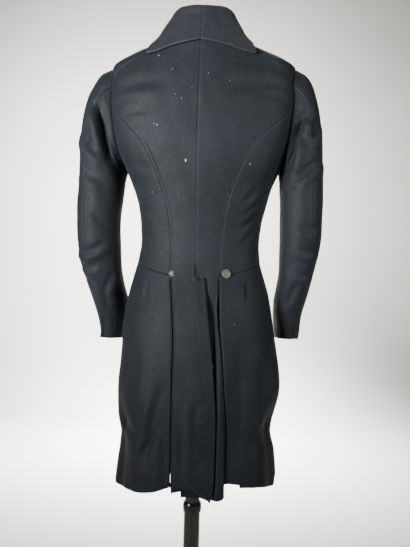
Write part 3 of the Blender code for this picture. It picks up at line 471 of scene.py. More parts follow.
# A seam is a groove with a low ridge and puckers beside it. A hem is a soft roll, with the line
# where it is felled sunk behind it. Distances from the edge, half widths and heights, in metres.
GROOVE_WIDE = 0.0013
RIDGE_AT, RIDGE_WIDE = 0.0042, 0.0022
PUCKER_WAVES, PUCKER_REACH, PUCKER_START = (0.0105, 0.0172), 0.009, 0.003
ROLL_AT, ROLL_HIGH = 0.003, 0.0004
FELLED_AT, FELLED_WIDE, FELLED_DEEP = 0.026, 0.0022, 0.0003
SEAM_WORN, SEAM_WORN_AT, HEM_WORN, WORN_WIDE = 0.22, 0.0045, 0.30, 0.0025
# How far an edge's two last rows go: inwards from the face, and along the cloth.
SEAM_FOLD, SEAM_DIVE, SEAM_UNDER = 0.0006, 0.0040, 0.0007
HEM_FOLD, HEM_OUT, HEM_DIVE, HEM_UNDER = 0.0011, 0.0004, 0.0023, 0.0070


def worked(grid, edges, coat):
    """The push of seams and hems on a panel, and how worn each point is.

    edges gives, for each edge by name, how sewn it is along its length: 1 in a seam, 0 at a hem.
    """
    push, worn = np.zeros(grid.shape[:2]), np.zeros(grid.shape[:2])
    for name, sewn in edges.items():
        far = spans(grid)[name]
        upright = name in ("inner", "outer")
        sewn = np.broadcast_to(np.asarray(sewn, float), (grid.shape[0 if upright else 1],))
        sewn = sewn[:, None] if upright else sewn[None, :]
        run = grid[..., 2 if upright else 0]
        short, long = PUCKER_WAVES
        pucker = np.sin(run * 2 * math.pi / short) + 0.6 * np.sin(run * 2 * math.pi / long + 1.3)
        seam = (-coat.seam_depth * np.exp(-(far / GROOVE_WIDE) ** 2)
                + 0.25 * coat.seam_depth * np.exp(-((far - RIDGE_AT) / RIDGE_WIDE) ** 2)
                + coat.pucker * pucker * np.exp(-far / PUCKER_REACH) * ease(far, 0, PUCKER_START))
        hem = (ROLL_HIGH * np.exp(-((far - ROLL_AT) / ROLL_AT) ** 2)
               - FELLED_DEEP * np.exp(-((far - FELLED_AT) / FELLED_WIDE) ** 2))
        push += sewn * seam + (1 - sewn) * hem
        worn = np.maximum(worn, sewn * SEAM_WORN * np.exp(-((far - SEAM_WORN_AT) / WORN_WIDE) ** 2))
        worn = np.maximum(worn, (1 - sewn) * HEM_WORN * np.exp(-far / WORN_WIDE))
    return push, worn


def turned_under(grid, normals, worn, edge, sewn):
    """Two more rows along an edge: in a seam they dive inwards, at a hem they fold back under."""
    def face(values):
        values = values if edge in ("bottom", "top") else values.swapaxes(0, 1)
        return values[::-1] if edge in ("top", "outer") else values

    def back(values):
        values = values[::-1] if edge in ("top", "outer") else values
        return values if edge in ("bottom", "top") else values.swapaxes(0, 1)

    points, outward, wear = face(grid), face(normals), face(worn)
    w = np.broadcast_to(np.asarray(sewn, float), (points.shape[1],))[:, None]
    inward = unit(points[1] - points[0])
    fold = points[0] - outward[0] * (w * SEAM_FOLD + (1 - w) * HEM_FOLD) - inward * (1 - w) * HEM_OUT
    under = (points[0] - outward[0] * (w * SEAM_DIVE + (1 - w) * HEM_DIVE)
             + inward * (w * SEAM_UNDER + (1 - w) * HEM_UNDER))
    return (back(np.concatenate([[under, fold], points])),
            back(np.concatenate([outward[:1], outward[:1], outward])),
            back(np.concatenate([wear[:1] * 0, wear[:1], wear])))


def grid_normals(grid):
    """A grid's normals, up the rows crossed with along the columns."""
    up, out = np.gradient(grid, axis=0), np.gradient(grid, axis=1)
    return unit(np.cross(up, out) + 1e-12)


# The finish that each of the record's cloth slots gets.
FINISHES = {"coat_wool": "napped_broadcloth", "collar_facing": "smooth_facing_cloth"}


def sheet_object(name, grid, normals, finish, worn=None, thickness=CLOTH):
    """A grid of points as a cloth piece, with a wall, lengths of cloth as its UVs and its wear."""
    rows, columns = grid.shape[:2]
    index = np.arange(rows * columns).reshape(rows, columns)
    quads = np.stack([index[:-1, :-1], index[:-1, 1:], index[1:, 1:], index[1:, :-1]], axis=-1)
    quads = quads.reshape(-1, 4)
    facing = np.cross(np.gradient(grid, axis=1), np.gradient(grid, axis=0))
    if (facing * normals).sum() < 0:
        quads = quads[:, ::-1]
    mesh = bpy.data.meshes.new(name)
    mesh.from_pydata(grid.reshape(-1, 3).tolist(), [], quads.tolist())
    far = spans(grid)
    lengths = np.stack([far["inner"], far["bottom"]], axis=-1).reshape(-1, 2)
    corners = np.empty(len(mesh.loops), np.int32)
    mesh.loops.foreach_get("vertex_index", corners)
    mesh.uv_layers.new(name="cloth").data.foreach_set("uv", lengths[corners].ravel())
    worn = np.zeros(rows * columns) if worn is None else worn
    mesh.attributes.new("wear", "FLOAT", "POINT").data.foreach_set("value", worn.ravel())
    mesh.shade_smooth()
    mesh.materials.append(finish)
    made = bpy.data.objects.new(name, mesh)
    bpy.context.scene.collection.objects.link(made)
    wall = made.modifiers.new("wall", "SOLIDIFY")
    wall.thickness, wall.offset = thickness, 0.0
    return made


def cloth_piece(name, node, grid, normals, worn, slot="coat_wool",
                thickness=CLOTH):
    """A cloth piece that takes a node's place, its finish chosen by its cloth slot."""
    made = sheet_object(name, grid, normals, bpy.data.materials[FINISHES[slot]], worn, thickness)
    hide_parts(node)
    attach(made, "form")
    return made


def trunk_panel(node, places, lift, edges, folds, coat):
    """A panel of the body: seams, hems, folds and slack worked into its places."""
    base = lifted(places[..., 0], places[..., 1], lift)
    normals = body_normal(places[..., 0], places[..., 1])
    push, worn = worked(base, edges, coat)
    push = push + creased(base, normals, folds, coat.crease) + coat.slack * slack(base)
    grid = base + normals * push[..., None]
    for edge in ("bottom", "top"):
        if edge in edges:
            grid, normals, worn = turned_under(grid, normals, worn, edge, edges[edge])
    more = 2 * ("bottom" in edges), 2 * ("top" in edges)
    for edge in ("inner", "outer"):
        if edge in edges:
            sewn = np.broadcast_to(np.asarray(edges[edge], float), (len(base),))
            sewn = np.pad(sewn, more, mode="edge")
            grid, normals, worn = turned_under(grid, normals, worn, edge, sewn)
    return cloth_piece(f"{node}_cloth", node, grid, normals, worn)


# ---------------------------------------------------------------- the back, sides, fronts and skirts
FINE = 6                  # rows of the finished cloth for each row of the plain walls
PLEAT_ROWS, SEAM_ROWS, ARM_ROWS, SHOULDER_ROWS = FINE * 9, FINE * 11, FINE * 3, FINE * 8
BACK_COLUMNS, SIDE_COLUMNS, FRONT_COLUMNS = 42, 36, 48
LAP_COLUMNS = 12          # columns of the front's waist that the skirt runs on under
SKIRT_ROWS = 96
CLOSE_TOP = 0.011         # the pleat's evenly spaced rows stop this far below the waist
PLEAT_SHUT = 0.0062       # and above it the pleat's columns close up into this width
FLANGE_WIDE, FLANGE_UP = 0.022, 0.065   # the strip behind the skirt, and how much shorter it hangs
VENT_RECESS = 0.0120      # how far the right back skirt lies behind the left one
CENTRE_AT_SIDE_BACK, CENTRE_AT_SHOULDER = 1.342, 1.404
PANEL_RADIUS = 0.13       # near enough the body's radius, to turn a short way round into an angle
# The back's edge below the waist turns in to make the pleat: distance from the edge, how far in.
PLEAT_TURN = ((0.0062, 0.0001), (0.0042, 0.0004), (0.0026, 0.0012), (0.0014, 0.0028), (0.0006, 0.0056),
              (0.0, 0.0096), (-0.0020, 0.0112), (-0.0060, 0.0118), (-0.0130, 0.0122), (-0.0220, 0.0124))
# The skirt's edge laps it, from the strip turned under to the panel, given the same way.
PLEAT_FOLD = ((0.0300, 0.0060), (0.0180, 0.0058), (0.0060, 0.0052), (0.0032, 0.0046), (0.0021, 0.0037),
              (0.0016, 0.0026), (0.0016, 0.0013), (0.0024, 0.0004), (0.0044, 0.0))


def side_back_seam(sign):
    """Up the seam between a back panel and a side body, ending where it meets the armhole."""
    places = back_places(SIDE_BACK_SEAM["x"], SIDE_BACK_SEAM["z"], SEAM_ROWS, sign)
    miss = armhole(AT_SIDE_BACK, AT_SIDE_FRONT, 1, sign)[0] - places[-1]
    return places + miss * (np.arange(len(places)) / SEAM_ROWS)[:, None] ** 3


def back_edges(side, sign):
    """A back panel's inner and outer edges, both running up from the hem."""
    z = np.linspace(PLEAT["z"][0], WAIST_Z - CLOSE_TOP, PLEAT_ROWS)
    pleat = np.stack([theta_at(sign * smooth(PLEAT["z"], PLEAT[side], z), z), z], axis=1)
    seam = side_back_seam(sign)
    arm = armhole(AT_SHOULDER, AT_SIDE_BACK, ARM_ROWS, sign)[::-1]
    outer = np.concatenate([pleat, seam, arm[1:], shoulder_seam(SHOULDER_ROWS, sign)[::-1][1:]])
    z = np.linspace(VENT["z"][0], VENT["z"][-1], PLEAT_ROWS)
    vent = np.stack([theta_at(smooth(VENT["z"], VENT[side], z), z), z], axis=1)
    heights = (VENT_Z, CENTRE_AT_SIDE_BACK, CENTRE_AT_SHOULDER, neck_places(0, 0.01, 1, 1)[0, 1])
    ends = (0, SEAM_ROWS, SEAM_ROWS + ARM_ROWS, SEAM_ROWS + ARM_ROWS + SHOULDER_ROWS)
    z = smooth(ends, heights, np.arange(ends[-1] + 1))
    return np.concatenate([vent, np.stack([np.zeros_like(z), z], axis=1)]), outer


def hem_places(start, end, heights, count):
    """Along a hem between two corners."""
    theta = np.linspace(start[0], end[0], count + 1)
    z = smooth(np.linspace(0, 1, len(heights)), heights, np.linspace(0, 1, count + 1))
    return np.stack([theta, z], axis=1)


def build_back(side, coat):
    """A back panel, cut in one from the neck to the hem, with the vent's and the pleat's edges."""
    sign = 1 if side == "left" else -1
    inner, outer = back_edges(side, sign)
    inner[0, 1], outer[0, 1] = HEM_BACK[side][0], HEM_BACK[side][-1]
    places = patch(inner, outer, hem_places(inner[0], outer[0], HEM_BACK[side], BACK_COLUMNS),
                   neck_places(0, SHOULDER_ROW, BACK_COLUMNS, sign))
    z = places[:, -1, 1]
    parted = ease(WAIST_Z - 0.004 - z, 0, 0.02)
    turned = []
    for step, (away, _) in enumerate(PLEAT_TURN):
        shut = PLEAT_SHUT * (1 - step / (len(PLEAT_TURN) - 1))
        turn = sign * (shut + (away - shut) * parted) / PANEL_RADIUS
        shorter = FLANGE_UP * math.sqrt(max(-away, 0) / FLANGE_WIDE)
        up = shorter * (1 - ease(z, places[0, -1, 1], WAIST_Z))
        turned.append(places[:, -1] - np.stack([turn, -up], axis=1))
    places = np.concatenate([places[:, :-3], np.stack(turned, axis=1)], axis=1)
    z = places[..., 1]
    x = body(places[..., 0], z)[..., 0]
    below = ease(WAIST_Z + 0.034 - z, 0, 0.034)
    lift = np.full(z.shape, -CLOTH / 2)
    if side == "right":
        under = below * (CLOTH + 3 * NAP) * ease(x, -0.052, -0.020)
        lift -= under + ease(x, -0.062, -0.045) * (VENT_RECESS * ease(WAIST_Z - 0.02 - z, 0, 0.06))
    else:
        lift += 0.0012 * below * ease(0.02 - x, 0, 0.03)
    fold = ease(WAIST_Z - 0.004 - z, 0, 0.02)
    for column, (_, deep) in enumerate(PLEAT_TURN):
        at = column - len(PLEAT_TURN)
        lift[:, at] -= deep * fold[:, at]
    closed = (np.arange(len(places)) >= PLEAT_ROWS).astype(float)
    edges = {"bottom": 0, "inner": closed, "outer": closed}
    return trunk_panel(f"back_{side}", places, lift, edges, BACK_FOLDS + TAIL_FOLDS, coat)


def waist_places(start, end, count, sign):
    """Along the waist seam between two angles."""
    theta = np.linspace(start, end, count + 1)
    return np.stack([sign * theta, smooth(np.radians(WAIST["theta"]), WAIST["z"], theta)], axis=1)


def side_waist(sign):
    start = abs(float(theta_at(np.array(sign * SIDE_BACK_SEAM["x"][0]), WAIST_Z)))
    places = waist_places(start, math.radians(SIDE_FRONT_SEAM["theta"][0]), SIDE_COLUMNS, sign)
    places[0, 1] = WAIST_Z
    return places


def front_waist(sign):
    ends = math.radians(SIDE_FRONT_SEAM["theta"][0]), math.radians(WAIST["theta"][-1])
    return waist_places(*ends, FRONT_COLUMNS, sign)


def build_side(side, coat):
    """A side body, from the waist seam up to the underarm."""
    sign = 1 if side == "left" else -1
    inner = side_back_seam(sign)
    outer = turned_places(SIDE_FRONT_SEAM["theta"], SIDE_FRONT_SEAM["z"], SEAM_ROWS, sign)
    underarm = armhole(AT_SIDE_BACK, AT_SIDE_FRONT, SIDE_COLUMNS, sign)
    places = patch(inner, outer, side_waist(sign), underarm)
    lift = np.full(places.shape[:2], -CLOTH / 2)
    edges = {"bottom": 1, "top": 1, "inner": 1, "outer": 1}
    return trunk_panel(f"side_{side}", places, lift, edges, BACK_FOLDS, coat)


def build_front(side, coat):
    """A front, from behind the shoulder's ridge down to the cut-away waist."""
    sign = 1 if side == "left" else -1
    edge = turned_places(FRONT_EDGE["theta"], FRONT_EDGE["z"], 2 * FINE, sign)
    rolled = neck_places(SHOULDER_ROW, len(SHAWL["sewn"]) - 1, 14 * FINE, sign)[::-1]
    inner = np.concatenate([edge[:-1], rolled])
    seam = turned_places(SIDE_FRONT_SEAM["theta"], SIDE_FRONT_SEAM["z"], 7 * FINE, sign)
    outer = np.concatenate([seam, armhole(AT_SIDE_FRONT, AT_ROUND, len(inner) - len(seam), sign)[1:]])
    bottom = front_waist(sign)[::-1]
    places = patch(inner, outer, bottom, shoulder_seam(FRONT_COLUMNS, sign))
    lift = np.full(places.shape[:2], -CLOTH / 2)
    joined = (np.abs(bottom[:, 0]) < math.radians(TAIL_FRONT["theta"][-1])).astype(float)
    edges = {"bottom": joined, "top": 1, "outer": 1}
    return trunk_panel(f"front_{side}", places, lift, edges, (), coat)


def build_skirt(side, coat):
    """A side skirt, from the waist seam to the hem, turned under along the pleat."""
    sign = 1 if side == "left" else -1
    z = np.linspace(HEM_SKIRT[side][0], WAIST_Z, SKIRT_ROWS + 1)
    inner = np.stack([theta_at(sign * smooth(PLEAT["z"], PLEAT[side], z), z), z], axis=1)
    outer = turned_places(TAIL_FRONT["theta"], TAIL_FRONT["z"], SKIRT_ROWS, sign)
    top = np.concatenate([side_waist(sign), front_waist(sign)[1:LAP_COLUMNS + 1]])
    bottom = hem_places(inner[0], outer[0], HEM_SKIRT[side], len(top) - 1)
    outer[-1], outer[0], inner[-1] = top[-1], bottom[-1], top[0]
    places = patch(inner, outer, bottom, top)
    # the front bottom corner is rounded: points outside the arc are drawn back to it
    wide = level(side, places[..., 1])
    dx = CORNER - sign * (outer[0, 0] - places[..., 0]) * wide
    dz = CORNER - (places[..., 1] - HEM_SKIRT[side][-1])
    far = np.hypot(dx, dz)
    pull = np.where((dx > 0) & (dz > 0) & (far > CORNER), 1 - CORNER / np.maximum(far, 1e-9), 0)
    places[..., 0] -= sign * pull * dx / wide
    places[..., 1] += pull * dz
    strip = np.stack([places[:, 0] + (sign * away / PANEL_RADIUS, 0) for away, _ in PLEAT_FOLD], axis=1)
    deep = np.array([deep for _, deep in PLEAT_FOLD])
    places = np.concatenate([strip, places[:, 2:]], axis=1)
    lift = np.full(places.shape[:2], -CLOTH / 2)
    lift[:, :len(deep)] -= deep
    edges = {"bottom": 0, "top": 1, "outer": 0}
    return trunk_panel(f"skirt_{side}", places, lift, edges, TAIL_FOLDS, coat)


# ---------------------------------------------------------------- sleeves
SLEEVE_ROWS, TOPSLEEVE_COLUMNS, UNDERSLEEVE_COLUMNS = 110, 76, 64
CUFF_SLIT = 5.0           # degrees round the cuff that its slit gapes
VENT_RING = 11.75         # the ring below which the cuff's hind seam is left open
LAP_DEEP, LAP_OUT = 0.0030, (0.0080, 0.0045, 0.0030)   # its depth, and its corner: out, aside, down


def sleeve_ring(ring, sign, side, degrees):
    """Points of one ring of the sleeve at turns from outside (0) through the back (90)."""
    rings = np.arange(len(SLEEVE["y"]))
    size = {name: float(smooth(rings, SLEEVE[name], ring)) for name in SLEEVE}
    higher = RIGHT_CUFF_HIGHER * ease(ring, 8, 13) if side == "right" else 0
    out = np.array([size[side + "_out"], size["y"], size["z_out"] + higher])
    inside = np.array([size[side + "_in"], size["y"], size["z_in"] + higher])
    turn = np.radians(degrees)[:, None]
    middle, arm = (out + inside) / 2, (out - inside) / 2
    swell = 1 + sleeve_fold(side, degrees, ring)[:, None] / size["deep"]
    points = middle + swell * (arm * np.cos(turn) + size["deep"] * np.sin(turn) * (0, 1, 0))
    return points * (sign, 1, 1)


def sleeve_fold(side, degrees, ring):
    """How far the sleeve's large folds move one ring's points."""
    total = np.zeros(len(degrees))
    for name, turn, at, wide, long, out in SLEEVE_FOLDS:
        if name == side:
            away = (np.asarray(degrees) - turn + 180) % 360 - 180
            total += out * np.exp(-(away / wide) ** 2 - ((ring - at) / long) ** 2)
    return total


def armhole_points(side, degrees):
    """The armhole's own points at those turns round the sleeve."""
    sign = 1 if side == "left" else -1
    places = armhole(0, AT_ROUND, 240, sign)
    points = lifted(places[:, 0], places[:, 1], np.full(len(places), -CLOTH / 2))
    low, high = points.min(axis=0), points.max(axis=0)
    away = (points - (low + high) / 2) / ((high - low) / 2)
    turn = np.degrees(np.arctan2(away[:, 1], away[:, 2])) % 360
    order = np.argsort(turn)
    wanted = np.asarray(degrees) % 360
    found = [np.interp(wanted, turn[order], points[order, k], period=360) for k in range(3)]
    return np.stack(found, axis=1) + (sign * SEAM_EASE, 0, 0)


def build_sleeve(piece, side, start, end, columns, coat):
    """One half of a sleeve, from the armhole to the cuff, with the vent at the hind seam's end."""
    sign = 1 if side == "left" else -1
    degrees = np.linspace(start, end, columns + 1)
    head = armhole_points(side, degrees)
    ease_off = head - sleeve_ring(0, sign, side, degrees)
    rings = np.linspace(0, len(SLEEVE["y"]) - 1, SLEEVE_ROWS + 1)
    keep = np.interp(rings, range(len(SLEEVE_HEAD_EASE) + 1), (*SLEEVE_HEAD_EASE, 0))
    # below the vent's top the topsleeve's hind edge stands back and the lap shows in the slit
    slit = CUFF_SLIT * ease(rings, VENT_RING, VENT_RING + 0.5) * (piece == "topsleeve")
    grid = []
    for ring, share, gape in zip(rings, keep, slit):
        narrowed = start + (degrees - start) * (1 - gape / (end - start))
        grid.append(sleeve_ring(ring, sign, side, narrowed) + share * ease_off)
    grid = np.array(grid)
    round_it = np.arange(0, 360, 30)
    middle = np.array([sleeve_ring(ring, sign, side, round_it).mean(axis=0) for ring in rings])
    normals = grid_normals(grid)
    if (normals * (grid - middle[:, None])).sum() < 0:
        normals = -normals
    closed = (rings < VENT_RING).astype(float)
    hind = "outer" if piece == "topsleeve" else "inner"
    edges = {"bottom": 1, "top": 0, "inner": 1, "outer": 1, hind: closed}
    push, worn = worked(grid, edges, coat)
    loose = creased(grid, normals, SLEEVE_CREASES[side], coat.crease) + coat.slack * slack(grid)
    push += ease(spans(grid)["bottom"], 0.004, 0.030) * loose
    if piece == "topsleeve":   # the vent's upper side laps the under side
        push += 0.0012 * ease(rings, VENT_RING - 0.3, VENT_RING + 0.3)[:, None] * np.exp(
            -spans(grid)["outer"] / 0.012)
    grid = grid + normals * push[..., None]
    for edge in ("bottom", "top"):
        grid, normals, worn = turned_under(grid, normals, worn, edge, edges[edge])
    for edge in ("inner", "outer"):
        sewn = np.pad(np.broadcast_to(np.asarray(edges[edge], float), (len(rings),)), 2, mode="edge")
        grid, normals, worn = turned_under(grid, normals, worn, edge, sewn)
    return cloth_piece(f"{piece}_{side}_cloth", f"{piece}_{side}", grid, normals, worn)


def build_underlap(side):
    """The short strip under each cuff's open seam, its corner hanging out."""
    sign = 1 if side == "left" else -1
    along = np.linspace(VENT_RING - 0.4, 12.93, 26)
    across = np.linspace(HIND_SEAM - 7, HIND_SEAM + 16, 14)
    rows = np.array([sleeve_ring(ring, sign, side, across) for ring in along])
    normals = grid_normals(rows)
    if normals[..., 1].sum() < 0:
        normals = -normals
    low = ease(along, VENT_RING + 0.3, 13)[:, None]
    out = ease(HIND_SEAM - across, -4, 7)[None, :]
    grid = rows + normals * (-LAP_DEEP + LAP_OUT[0] * low * out)[..., None]
    grid[..., 0] += sign * LAP_OUT[1] * low * out
    grid[..., 2] -= LAP_OUT[2] * low * out
    finish = bpy.data.materials[FINISHES["coat_wool"]]
    return sheet_object(f"cuff_underlap_{side}", grid, normals, finish, thickness=CLOTH * 0.8)


# ---------------------------------------------------------------- the shawl collar
COLLAR_ROWS, COLLAR_COLUMNS = 150, 44
LAPEL_ROWS = (3.5, 5.0)   # rows of SHAWL between which the collar becomes the lapel
FALL_SHARES = (0.03, 0.25, 0.5, 0.75, 1.0)
COLLAR_THICK = 0.0024     # facing, canvas and undercollar together
LEAST_ROLL = 0.0045       # the fall starts at least this far from the roll


def shawl_section(at, sign):
    """The collar's middle line at a row of SHAWL: up the stand, over the roll, down the fall."""
    rows = np.arange(len(SHAWL["sewn"]))
    size = {name: float(smooth(rows, SHAWL[name], at)) for name in SHAWL}
    roll_place = np.array([np.radians(size["roll_theta"]), size["roll_z"]])
    edge_place = np.array([np.radians(size["edge_theta"]), size["edge_z"]])
    lift = COLLAR_LIFT + (LAPEL_LIFT - COLLAR_LIFT) * ease(at, *LAPEL_ROWS)
    roll, edge = body(*roll_place), lifted(*edge_place, lift)
    far = np.linalg.norm(edge - roll)
    points = []
    for share in (1.0, 0.55, 0.16):
        place = roll_place + (edge_place - roll_place) * share * (size["sewn"] + 0.010) / far
        points.append(lifted(*place, STAND_LIFT))
    points.append(roll)
    for share in FALL_SHARES:
        share = max(share, LEAST_ROLL / far)
        place = roll_place + (edge_place - roll_place) * share
        # it lies on the coat, or runs straight from the roll to the edge where that is higher
        laid, taut, normal = lifted(*place, lift), roll + (edge - roll) * share, body_normal(*place)
        points.append(laid + normal * max(float(np.dot(taut - laid, normal)), 0) if share < 1 else edge)
    return np.array(points) * (sign, 1, 1)


def build_shawl(side, coat):
    """Half the shawl collar, from the centre back seam round the neck and down to the waist."""
    sign = 1 if side == "left" else -1
    grid = []
    for at in np.linspace(0, len(SHAWL["sewn"]) - 1, COLLAR_ROWS + 1):
        section = shawl_section(at, sign)
        steps = np.linalg.norm(np.diff(section, axis=0), axis=1)
        lengths = np.concatenate([[0], np.cumsum(steps)])
        wanted = np.linspace(0, lengths[-1], COLLAR_COLUMNS + 1)
        grid.append(np.stack([smooth(lengths, section[:, k], wanted) for k in range(3)], axis=1))
    grid = np.array(grid)
    normals = grid_normals(grid)
    if (normals[:, -6:] * grid[:, -6:] * (1, 1, 0)).sum() < 0:   # the fall faces outwards
        normals = -normals
    edges = {"bottom": 1, "top": 0, "outer": 0}
    push, worn = worked(grid, edges, coat)
    waves = coat.slack * slack(grid * (1, 1, 1.6)) * ease(spans(grid)["outer"], 0, 0.05)
    grid = grid + normals * (push + waves)[..., None]
    for edge in ("bottom", "top"):
        grid, normals, worn = turned_under(grid, normals, worn, edge, edges[edge])
    grid, normals, worn = turned_under(grid, normals, worn, "outer", 0)
    return cloth_piece(f"shawl_{side}_facing", f"shawl_{side}", grid, normals, worn,
                       slot="collar_facing", thickness=COLLAR_THICK)


# ---------------------------------------------------------------- turned and tubed shapes
def mesh_object(name, points, faces, finish):
    """A mesh that rides on the form's body, smooth but for its sharp edges."""
    mesh = bpy.data.meshes.new(name)
    faces = [list(map(int, face)) for face in faces]
    mesh.from_pydata(np.asarray(points, float).tolist(), [], faces)
    mesh.shade_smooth()
    mesh.set_sharp_from_angle(angle=math.radians(45))
    mesh.materials.append(bpy.data.materials[finish])
    made = bpy.data.objects.new(name, mesh)
    bpy.context.scene.collection.objects.link(made)
    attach(made, "form")
    return made


def tubes(name, lines, radius, finish, sides=6):
    """Threads: a round tube along each line of points, closed at its ends."""
    points, faces = [], []
    for line in lines:
        line = np.asarray(line, float)
        along = unit(np.gradient(line, axis=0))
        across = unit(np.cross(along, (0.31, 0.52, 0.79)))
        over = np.cross(along, across)
        turns = np.arange(sides) * 2 * math.pi / sides
        start = len(points)
        for at, u, v in zip(line, across, over):
            points += [at + radius * (u * math.cos(t) + v * math.sin(t)) for t in turns]
        for i in range(len(line) - 1):
            for k in range(sides):
                a, b = start + i * sides + k, start + i * sides + (k + 1) % sides
                faces.append((a, b, b + sides, a + sides))
        last = start + (len(line) - 1) * sides
        faces.append([start + k for k in reversed(range(sides))])
        faces.append([last + k for k in range(sides)])
    return mesh_object(name, points, faces, finish)


# A stitch: how far along it each point is, as a share of its length, and how far it stands out.
STITCH_ALONG = (-0.5, -0.42, -0.2, 0.2, 0.42, 0.5)
STITCH_OUT = (-0.0006, -0.0001, 0.00012, 0.00012, -0.0001, -0.0006)
STITCH_LONG = 0.78        # share of the pitch that a stitch covers


def stitched(name, places, coat):
    """A row of stitches along places on the coat, each dipping into the cloth at its ends."""
    points = lifted(places[:, 0], places[:, 1], np.full(len(places), 0.0001))
    normals = body_normal(places[:, 0], places[:, 1])
    far = np.concatenate([[0], np.cumsum(np.linalg.norm(np.diff(points, axis=0), axis=1))])
    lines = []
    for middle in np.arange(coat.stitch_pitch, far[-1] - coat.stitch_pitch / 2, coat.stitch_pitch):
        at = middle + np.array(STITCH_ALONG) * coat.stitch_pitch * STITCH_LONG
        line = np.stack([np.interp(at, far, points[:, k]) for k in range(3)], axis=1)
        out = np.stack([np.interp(at, far, normals[:, k]) for k in range(3)], axis=1)
        lines.append(line + out * np.array(STITCH_OUT)[:, None])
    tubes(name, lines, coat.thread / 2, "silk_thread")


def on_back(x, z, lift=0.0):
    """A point of the coat's back, and the way it faces."""
    theta = theta_at(np.array(float(x)), z)
    return lifted(theta, z, lift), body_normal(theta, z)


# ---------------------------------------------------------------- button, threads and lint
# The button's outline from its back to its crown: shares of its radius and of its depth.
BUTTON_PROFILE = (
    (0.0, 0.0), (0.55, 0.0), (0.86, 0.02), (0.97, 0.16), (1.0, 0.34), (0.985, 0.52), (0.93, 0.68),
    (0.86, 0.76), (0.80, 0.775), (0.70, 0.80), (0.50, 0.89), (0.26, 0.97), (0.0, 1.0),
)
BUTTON_SIDES, BUTTON_GATHERS, GATHER_DEEP = 64, 11, 0.012
LOOSE_THREAD_R = 0.00026
# Specks of lint: x, z, width, and how much taller than wide.
LINT = (
    (0.0227, 1.2316, 0.0036, 1.9), (0.0840, 1.3050, 0.0022, 1.2), (0.0910, 1.3080, 0.0012, 1.0),
    (0.0950, 1.1700, 0.0020, 1.3), (0.0880, 1.4560, 0.0016, 1.5), (-0.0440, 0.8110, 0.0017, 1.0),
    (-0.0860, 0.8960, 0.0012, 1.2), (0.0920, 0.6930, 0.0018, 1.3), (0.0350, 1.3600, 0.0013, 1.4),
    (0.0480, 1.3680, 0.0010, 1.0), (0.0140, 1.3820, 0.0010, 1.0), (-0.0190, 1.4140, 0.0012, 1.2),
    (-0.0640, 1.3980, 0.0011, 1.0), (0.0300, 1.2680, 0.0010, 1.0), (0.0560, 1.4230, 0.0011, 1.1),
    (-0.1090, 1.2300, 0.0015, 1.4), (-0.1120, 1.2270, 0.0010, 1.0), (0.0560, 0.8250, 0.0010, 1.0),
)


def build_button():
    """The covered button at the right of the waist, its cloth drawn over a domed mould."""
    centre, normal = on_back(*HIP_BUTTON, NAP + 0.0004)
    across = unit(np.cross((0, 0, 1), normal))
    turn = np.stack([across, np.cross(normal, across), normal], axis=1)
    sides, points, faces = BUTTON_SIDES, [], []
    for share, high in BUTTON_PROFILE:
        for k in range(sides):
            angle = k * 2 * math.pi / sides
            gather = 1 + GATHER_DEEP * math.sin(angle * BUTTON_GATHERS) * (0.1 < high < 0.6)
            points.append((BUTTON_R * share * gather * math.cos(angle),
                           BUTTON_R * share * gather * math.sin(angle), BUTTON_DEEP * high))
    for i in range(len(BUTTON_PROFILE) - 1):
        for k in range(sides):
            a, b = i * sides + k, i * sides + (k + 1) % sides
            faces.append((a, b, b + sides, a + sides))
    points = centre + np.array(points) @ turn.T
    made = mesh_object("covered_button_right", points, faces, "faded_button_twill")
    made.modifiers.new("poles", "WELD").merge_threshold = 1e-5
    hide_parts("hip_button_right")


def torn_threads(name, x, z, count, reach, finish, seed, hang=0.6):
    """Broken threads that stand out of the cloth at a point and droop."""
    rng = np.random.default_rng(seed)
    centre, normal = on_back(x, z, 0.0006)
    lines = []
    for _ in range(count):
        aim = unit(rng.normal(0, 0.8, 3) * (1, 0.2, 1) + normal * 0.7 + (0, 0, -hang))
        start = centre + rng.normal(0, 0.0009, 3) * (1, 0.1, 1) - normal * 0.0006
        far = reach * rng.uniform(0.5, 1.0)
        curl = unit(rng.normal(0, 1, 3))
        lines.append([start + aim * far * t + curl * far * 0.22 * math.sin(t * 4.2)
                      + np.array((0, 0, -hang * far * 0.5)) * t * t for t in np.linspace(0, 1, 9)])
    tubes(name, lines, LOOSE_THREAD_R, finish, sides=5)


def build_lint():
    """Specks of lint and moth-bitten fluff caught on the nap."""
    rng = np.random.default_rng(11)
    points, faces = [], []
    for x, z, size, tall in LINT:
        centre, normal = on_back(x, z, 0.0011)
        across = unit(np.cross((0, 0, 1), normal))
        turns, start = 12, len(points)
        points.append(centre + normal * size * 0.28)
        for ring, high in ((0.6, 0.22), (1.0, 0.0), (0.8, -0.20)):
            for k in range(turns):
                angle = k * 2 * math.pi / turns
                ragged = ring * (1 + 0.28 * rng.normal())
                points.append(centre + across * size * ragged * math.cos(angle) / 2
                              + np.array((0, 0, 1)) * size * tall * ragged * math.sin(angle) / 2
                              + normal * size * high)
        points.append(centre - normal * size * 0.2)
        for k in range(turns):
            a, b = start + 1 + k, start + 1 + (k + 1) % turns
            faces.append((start, a, b))
            for low, high in ((0, turns), (turns, 2 * turns)):
                faces.append((a + low, a + high, b + high, b + low))
            faces.append((start + 1 + 3 * turns, b + 2 * turns, a + 2 * turns))
    mesh_object("lint_specks", points, faces, "lint")


